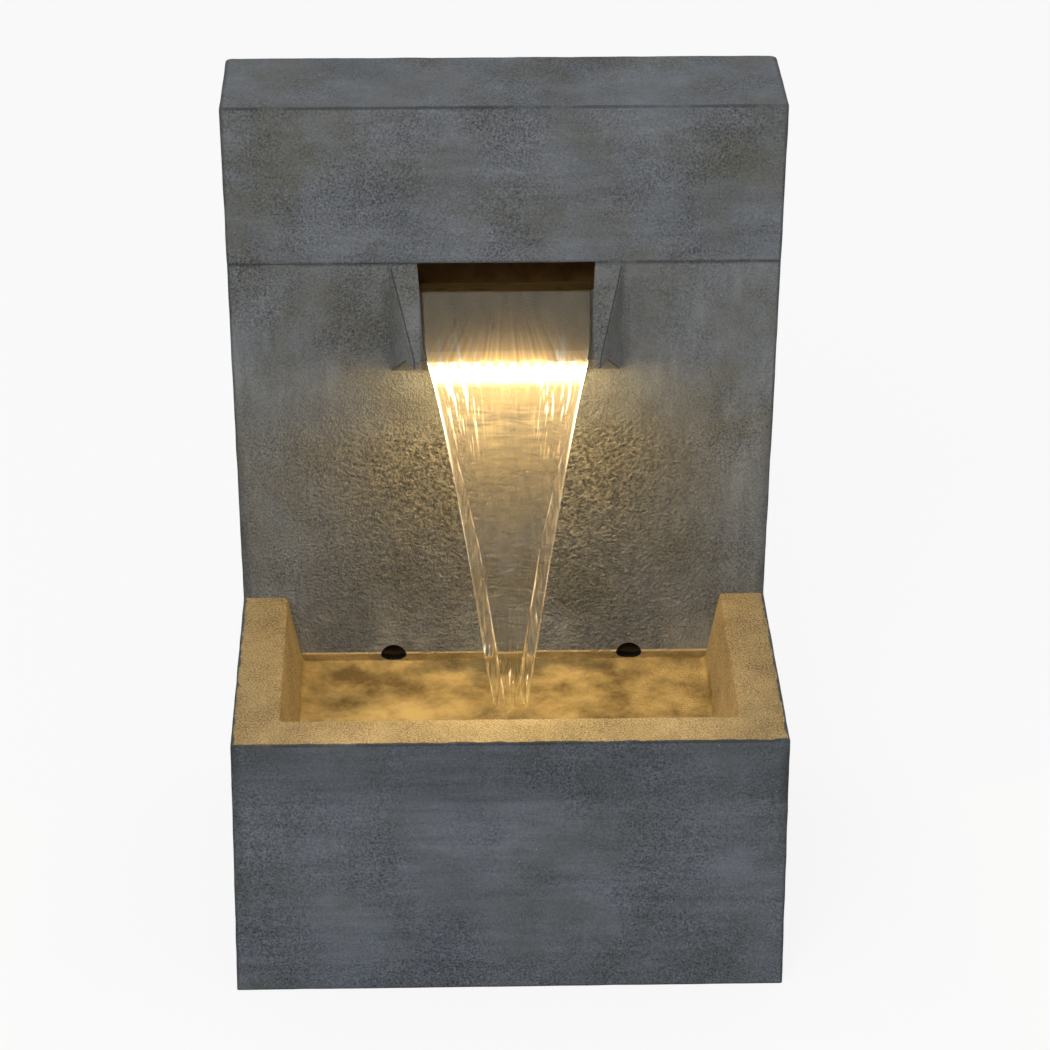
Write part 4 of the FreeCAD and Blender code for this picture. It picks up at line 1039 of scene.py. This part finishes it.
# %% Running water, its painted glow
# Exponentials fade the light with height, in metres for a fade by a factor of e: the broad glow
# downwards, and upwards the rays and the lumps of glow that the chips make over the lip.
GLOW_FADE, RAY_FADE, LUMP_FADE = 0.040, 0.0088, 0.0016
falling = add(tree, "Math", (0.504, at_z), **LESS)
climbed = add(tree, "Math", (at_z, 0.541), **LESS)
climbed = add(tree, "Math", (climbed, 0.0), operation="MAXIMUM")
fades = []
for way, fade in ((falling, GLOW_FADE), (climbed, RAY_FADE), (climbed, LUMP_FADE)):
    power = add(tree, "Math", (way, -1 / fade), **TIMES)
    fades.append(add(tree, "Math", (power,), operation="EXPONENT"))
broad = add(tree, "Math", (fades[0], 0.29), **TIMES)
broad = add(tree, "Math", (broad, masks["core"]), **PLUS)
lit_waves = add(tree, "Math", (masks["waves"], 4.0, 1.0), **TIMES_PLUS)
for factor in (masks["soft"], lit_waves, masks["lip_dim"]):
    broad = add(tree, "Math", (broad, factor), **TIMES)
# The rays lean inwards as they climb, like a fan.
lean = add(tree, "Math", (climbed, -14.0, 1.0), **TIMES_PLUS)
fan = add(tree, "Math", (off_middle, lean), operation="DIVIDE")
fan = add(tree, "CombineXYZ", (fan,))
rays, lumps = [
    add(tree, "MapRange", (add(tree, "TexNoise", {"Vector": fan, "Scale": scale, "Detail": 1.0}), *row))
    for scale, *row in ((34.0, 0.35, 0.68, 0.7, 1.35), (8.0, 0.42, 0.62, 0.0, 2.4))
]
rays, lumps = [add(tree, "Math", pair, **TIMES) for pair in ((fades[1], rays), (lumps, fades[2]))]
climb = add(tree, "Math", (rays, lumps), **PLUS)
for name in ("dim_side", "above"):
    climb = add(tree, "Math", (climb, masks[name]), **TIMES)
below_lip = add(tree, "Math", (1.0, masks["above"]), **LESS)
glow = add(tree, "Math", (broad, lines), **PLUS)
glow = add(tree, "Math", (glow, below_lip), **TIMES)
glow = add(tree, "Math", (glow, climb), **PLUS)
pale = add(tree, "Math", (lines, 1.0), operation="MINIMUM")
tint, hue = [add(tree, "Mix", {0: mask, 6: (*low, 1.0), 7: (*high, 1.0)}, **TINT) for mask, low, high in (
    (masks["lit_part"], CLEAR[:3], (0.88, 0.84, 0.73)), (pale, (1.0, 0.60, 0.21), (1.0, 0.93, 0.74)),
)]
relief = add(tree, "Math", (patterns["streaks"], 0.12), **TIMES)
relief = add(tree, "Math", (masks["waves"], 1.6, relief), **TIMES_PLUS)
in_strands = add(tree, "Math", (patterns["strands"], masks["in_rope"]), **TIMES)
relief = add(tree, "Math", (in_strands, 0.5, relief), **TIMES_PLUS)
bump = add(tree, "Bump", {"Height": relief, "Strength": 1.0, "Distance": MM})
fill(shader, {
    "Base Color": tint, "Emission Color": hue, "Emission Strength": glow, "Normal": bump,
    "Specular IOR Level": 0.12,
})
for piece, material in ((stream, falling_water), (pool, pool_water)):
    wear(piece, material)
    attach(piece, "fountain")
print("made", falling_water.name)

# %% [markdown]
# No lamp reaches the water inside the return holes, so those faces get a finish of their own: dark brown
# painted shade that mirrors nothing.

# %% Painted shade on the water in the return holes
shaded_hole_water, tree, shader, place = new_material("shaded_hole_water")
hole_shade_tone = add(tree, "TexNoise", {"Vector": place, "Scale": 1 / 0.006, "Detail": 3.0})
hole_shade_tone = add(tree, "Mix", {0: hole_shade_tone, 6: linear("1C1509"), 7: linear("4A381C")}, **TINT)
fill(shader, {"Base Color": hole_shade_tone, "Roughness": 0.7, "Specular IOR Level": 0.1})
pool.data.materials.append(shaded_hole_water)


def paint_faces(piece, index, wanted):
    """Gives the faces for which wanted(it) is true another of the piece's materials."""
    pick(piece, "FACE", wanted)
    piece.active_material_index = index
    bpy.ops.object.material_slot_assign()
    settle()


paint_faces(pool, 1, lambda f: f.calc_center_median().y > wall_y + MM)
print("murky faces", sum(f.material_index == 1 for f in pool.data.polygons))

# %% [markdown]
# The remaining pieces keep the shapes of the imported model. Each gets the finish of its real
# material: two tones that mottle at a known size, a fine relief, and a typical roughness. A
# stretched mottle stands for brushing, drawing or the rings of a lathe.


# %% Moulded, turned and drawn materials
def fine_finish(name, dark, pale, grain, relief, roughness, stretch, sockets):
    """Two tones mottled at a grain size in millimetres, with a relief in millimetres."""
    material, tree, shader, place = new_material(name)
    stretched = add(tree, "Mapping", {"Vector": place, "Scale": [1000 / (grain * s) for s in stretch]})
    mottle = add(tree, "TexNoise", {"Vector": stretched, "Scale": 1.0, "Detail": 4.0, "Roughness": 0.6})
    broad = add(tree, "TexNoise", {"Vector": place, "Scale": 1 / 0.02, "Detail": 3.0})
    tone = add(tree, "Math", (mottle, 0.5, broad), **TIMES_PLUS)
    tone = add(tree, "MapRange", (tone, 0.5, 1.0, 0.0, 1.0))
    colour = add(tree, "Mix", {0: tone, 6: linear(dark), 7: linear(pale)}, **TINT)
    rough = add(tree, "MapRange", (mottle, 0.3, 0.7, roughness - 0.06, roughness + 0.06))
    bump = add(tree, "Bump", {"Height": mottle, "Strength": 1.0, "Distance": relief * MM})
    fill(shader, {"Base Color": colour, "Roughness": rough, "Normal": bump, **sockets})
    return material


EVEN, METAL = (1, 1, 1), {"Metallic": 1.0}
LIT = {"Emission Color": (1.0, 0.78, 0.4, 1.0), "Emission Strength": 6.0}
CLEAR_PVC = {"Transmission Weight": 0.75, "IOR": 1.5}
# Name, dark and pale tone, grain and relief in millimetres, roughness, stretch, other sockets, and
# the nodes that have the finish.
FINISHES = (
    # A satin brown metal, so that the bar's edge is lost in the wet stone.
    ("bronze_anodised_aluminium", "54483A", "6A5C4A", 0.6, 0.01, 0.45, (30, 1, 1), METAL,
     "light_channel"),
    # Lacquer on a circuit board: flat, slightly glossy and a little uneven.
    ("white_solder_mask", "DEDDD6", "F0EFE9", 0.8, 0.01, 0.4, EVEN, {}, "light_board"),
    # Phosphor: yellow, and a weak glow of its own behind the bright lens.
    ("phosphor_chip", "F0C040", "FFE08A", 1.0, 0.01, 0.35, EVEN, LIT, "light_chips"),
    # Drawn PVC on a lead: black with a dull shine.
    ("black_pvc", "17171A", "232326", 1.2, 0.02, 0.45, EVEN, {}, "light_lead"),
    # Clips: milky white and waxy.
    ("natural_nylon", "D2D0C6", "E6E4DA", 1.5, 0.02, 0.42, EVEN, {}, "lead_clips"),
    # Stained brown by iron in the standing water.
    ("stained_polypropylene", "7A5622", "A67A3C", 6.0, 0.08, 0.6, EVEN, {}, "weir_trough"),
    # Fittings: black with a faintly streaky surface.
    ("glass_filled_nylon", "1B1B1D", "2C2C2F", 0.7, 0.04, 0.5, (1, 1, 4), {}, "inlet_spigot inlet_nut"),
    # Dead black, dusty bloom, no shine.
    ("epdm_rubber", "1A1A1A", "2A2928", 1.4, 0.05, 0.82, EVEN, {},
     "inlet_washer cable_grommet drain_plug"),
    # Hose: clear, faintly green, and wavy from the die.
    ("clear_pvc_hose", "B9C2BE", "D3DAD6", 3.0, 0.03, 0.18, EVEN, CLEAR_PVC, "supply_hose"),
    # Bright band, brushed round its length.
    ("stainless_band", "8F9092", "B6B7B8", 0.5, 0.012, 0.28, (8, 8, 0.6), METAL, "hose_clamps"),
    # Pump shell: epoxy-filled ABS, black with an orange-peel skin.
    ("pump_abs", "15161A", "24262B", 1.6, 0.06, 0.48, EVEN, {},
     "pump_housing impeller_cover front_strainer"),
    # Shaft: ivory white, polished.
    ("alumina_ceramic", "DDD8CB", "EEEADF", 1.0, 0.005, 0.2, EVEN, {}, "pump_shaft"),
    # Rotor: grey acetal, smooth and waxy.
    ("rotor_acetal", "55575B", "6B6D72", 1.3, 0.02, 0.38, EVEN, {}, "pump_rotor"),
    # Dial: orange-red, so that it is found in the dark of the reservoir.
    ("dial_abs", "A8401C", "C2562A", 1.2, 0.03, 0.42, EVEN, {}, "flow_dial"),
    # Cups: dark grey and a little glossy.
    ("soft_grey_pvc", "3E3F41", "525356", 1.2, 0.02, 0.4, EVEN, {}, "suction_cups"),
    # Glands: black, moulded with a fine spark texture, soft sheen.
    ("black_polypropylene", "18181A", "26262A", 0.9, 0.05, 0.52, EVEN, {}, "pump_glands"),
    # Door: grey sheet with a fine leather-like grain against the weather.
    ("door_asa", "43464A", "565A5F", 1.3, 0.12, 0.6, EVEN, {}, "access_door"),
    # Door's seal: charcoal with open cells.
    ("neoprene_foam", "2C2C2C", "414141", 1.1, 0.18, 0.95, EVEN, {}, "door_gasket"),
    # Inserts: warm yellow with rings from the tool.
    ("turned_brass", "A8843E", "CDA75A", 0.5, 0.012, 0.3, (6, 0.5, 6), METAL, "door_inserts"),
    # Thumb screws: black glass-filled heads, dull.
    ("screw_nylon", "202123", "323437", 0.8, 0.05, 0.55, EVEN, {},
     "door_screw_1 door_screw_2 door_screw_3 door_screw_4"),
)
for *finish, node_names in FINISHES:
    material = fine_finish(*finish)
    for name in node_names.split():
        for slot in nodes[name].material_slots:
            slot.material = material
print(len(FINISHES), "finishes made")

# %% [markdown]
# The light bar's lens is clear silicone lit from inside, flush with the spout's floor. Spots over
# the chips throw the light forwards and are blown out to a warm white. The faces between them and
# the foot give less, and the top only glows under the film of water. Each kind of face has its
# own material with plain values.

# %% Lens of the light
CHIPS, chip_width, spot_half = 12, 3.5 * MM, 2.5 * MM
chips_low, chips_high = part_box("light_chips")
pitch = (chips_high[0] - chips_low[0] - chip_width) / (CHIPS - 1)
chip_x = [chips_low[0] + chip_width / 2 + i * pitch for i in range(CHIPS)]
foot_z = lens_low[2] + 3 * MM
lens = block("light_bar_lens", lens_low[0], lens_high[0], lip_y, lens_high[1], foot_z, lip_z)
lens_rise = (lens_high[1] - lip_y) * slope
shift(lens, lambda v: near(v.co.y, lens_high[1]) and near(v.co.z, lip_z), (0, 0, lens_rise))
round_edges(
    lens, lambda e: runs_along(e, 0) and middle_of(e).y < lip_y + MM and middle_of(e).z > lip_z - MM,
    2.6 * MM, 4,
)
slice_at(lens, 0, [x + side * spot_half for x in chip_x for side in (-1, 1)])
# Strengths of the faces over the chips, on top, at the foot and between the chips.
for name, strength in (
    ("silicone_spot", 1500.0), ("silicone_top", 0.03), ("silicone_foot", 390.0), ("silicone_between", 1.3)
):
    silicone, tree, shader, place = new_material(name)
    clouds = add(tree, "TexNoise", {"Vector": place, "Scale": 1 / 0.002, "Detail": 2.0})
    bump = add(tree, "Bump", {"Height": clouds, "Strength": 0.3, "Distance": 0.1 * MM})
    fill(shader, {
        "Base Color": linear("5E5036"), "Roughness": 0.3, "Normal": bump,
        "Emission Color": (1.0, 0.69, 0.25, 1.0), "Emission Strength": strength,
    })
    lens.data.materials.append(silicone)


def off_chips(face):
    return face.normal.y < -0.9 and min(abs(face.calc_center_median().x - x) for x in chip_x) > spot_half


paint_faces(lens, 1, lambda f: f.normal.y > -0.9)
paint_faces(lens, 2, lambda f: f.normal.z < -0.9)
paint_faces(lens, 3, off_chips)
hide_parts("light_lens")
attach(lens, "fountain")
print(size_of(lens))

# %% [markdown]
# A plain studio: a white floor that keeps the fountain's shadow, even light from all round, and
# one large soft lamp in front. The lamps are set so that a colour renders about as it is written.

# %% Floor and light
FLOOR_SHARE, WORLD_LIGHT, LAMP_POWER = 0.86, 0.66, 48.0


def seen_directly(tree):
    """1 where the camera looks, also in a mirror or through glass, and 0 for all other light."""
    path = add(tree, "LightPath").node
    seen = path.outputs["Is Camera Ray"]
    for ray in ("Is Glossy Ray", "Is Transmission Ray"):
        seen = add(tree, "Math", (seen, path.outputs[ray]), operation="MAXIMUM")
    return seen


def empty_tree(owner):
    owner.use_nodes = True
    owner.node_tree.nodes.clear()
    return owner.node_tree


settle()
bpy.ops.mesh.primitive_plane_add(size=14, location=(0, 0, 0))
floor = place_in_mesh(bpy.context.object, "floor")
floor.data.materials.append(bpy.data.materials.new("floor_white"))
tree = empty_tree(floor.active_material)
paper = add(tree, "BsdfDiffuse", {"Color": (0.85, 0.85, 0.85, 1.0)})
white = add(tree, "Emission", {"Color": (1, 1, 1, 1), "Strength": 1.0})
share = add(tree, "Math", (seen_directly(tree), FLOOR_SHARE), **TIMES)
add_output(tree, add(tree, "MixShader", (share, paper, white)))

bpy.context.scene.world = bpy.data.worlds.new("studio")
tree = empty_tree(bpy.context.scene.world)
strength = add(tree, "MapRange", (seen_directly(tree), 0.0, 1.0, WORLD_LIGHT, 1.0))
add_output(tree, add(tree, "Background", {"Color": (1, 1, 1, 1), "Strength": strength}), "World")

lamp_data = bpy.data.lights.new("soft_front", "AREA")
lamp_data.shape, lamp_data.size, lamp_data.energy = "SQUARE", 1.6, LAMP_POWER
lamp = bpy.data.objects.new("soft_front", lamp_data)
bpy.context.collection.objects.link(lamp)
lamp.location = (-0.9, -2.9, 2.9)
lamp.rotation_euler = (Vector((0, 0, 0.35)) - lamp.location).to_track_quat("-Z", "Y").to_euler()
bpy.context.scene.view_settings.view_transform = "Standard"
print("studio ready")
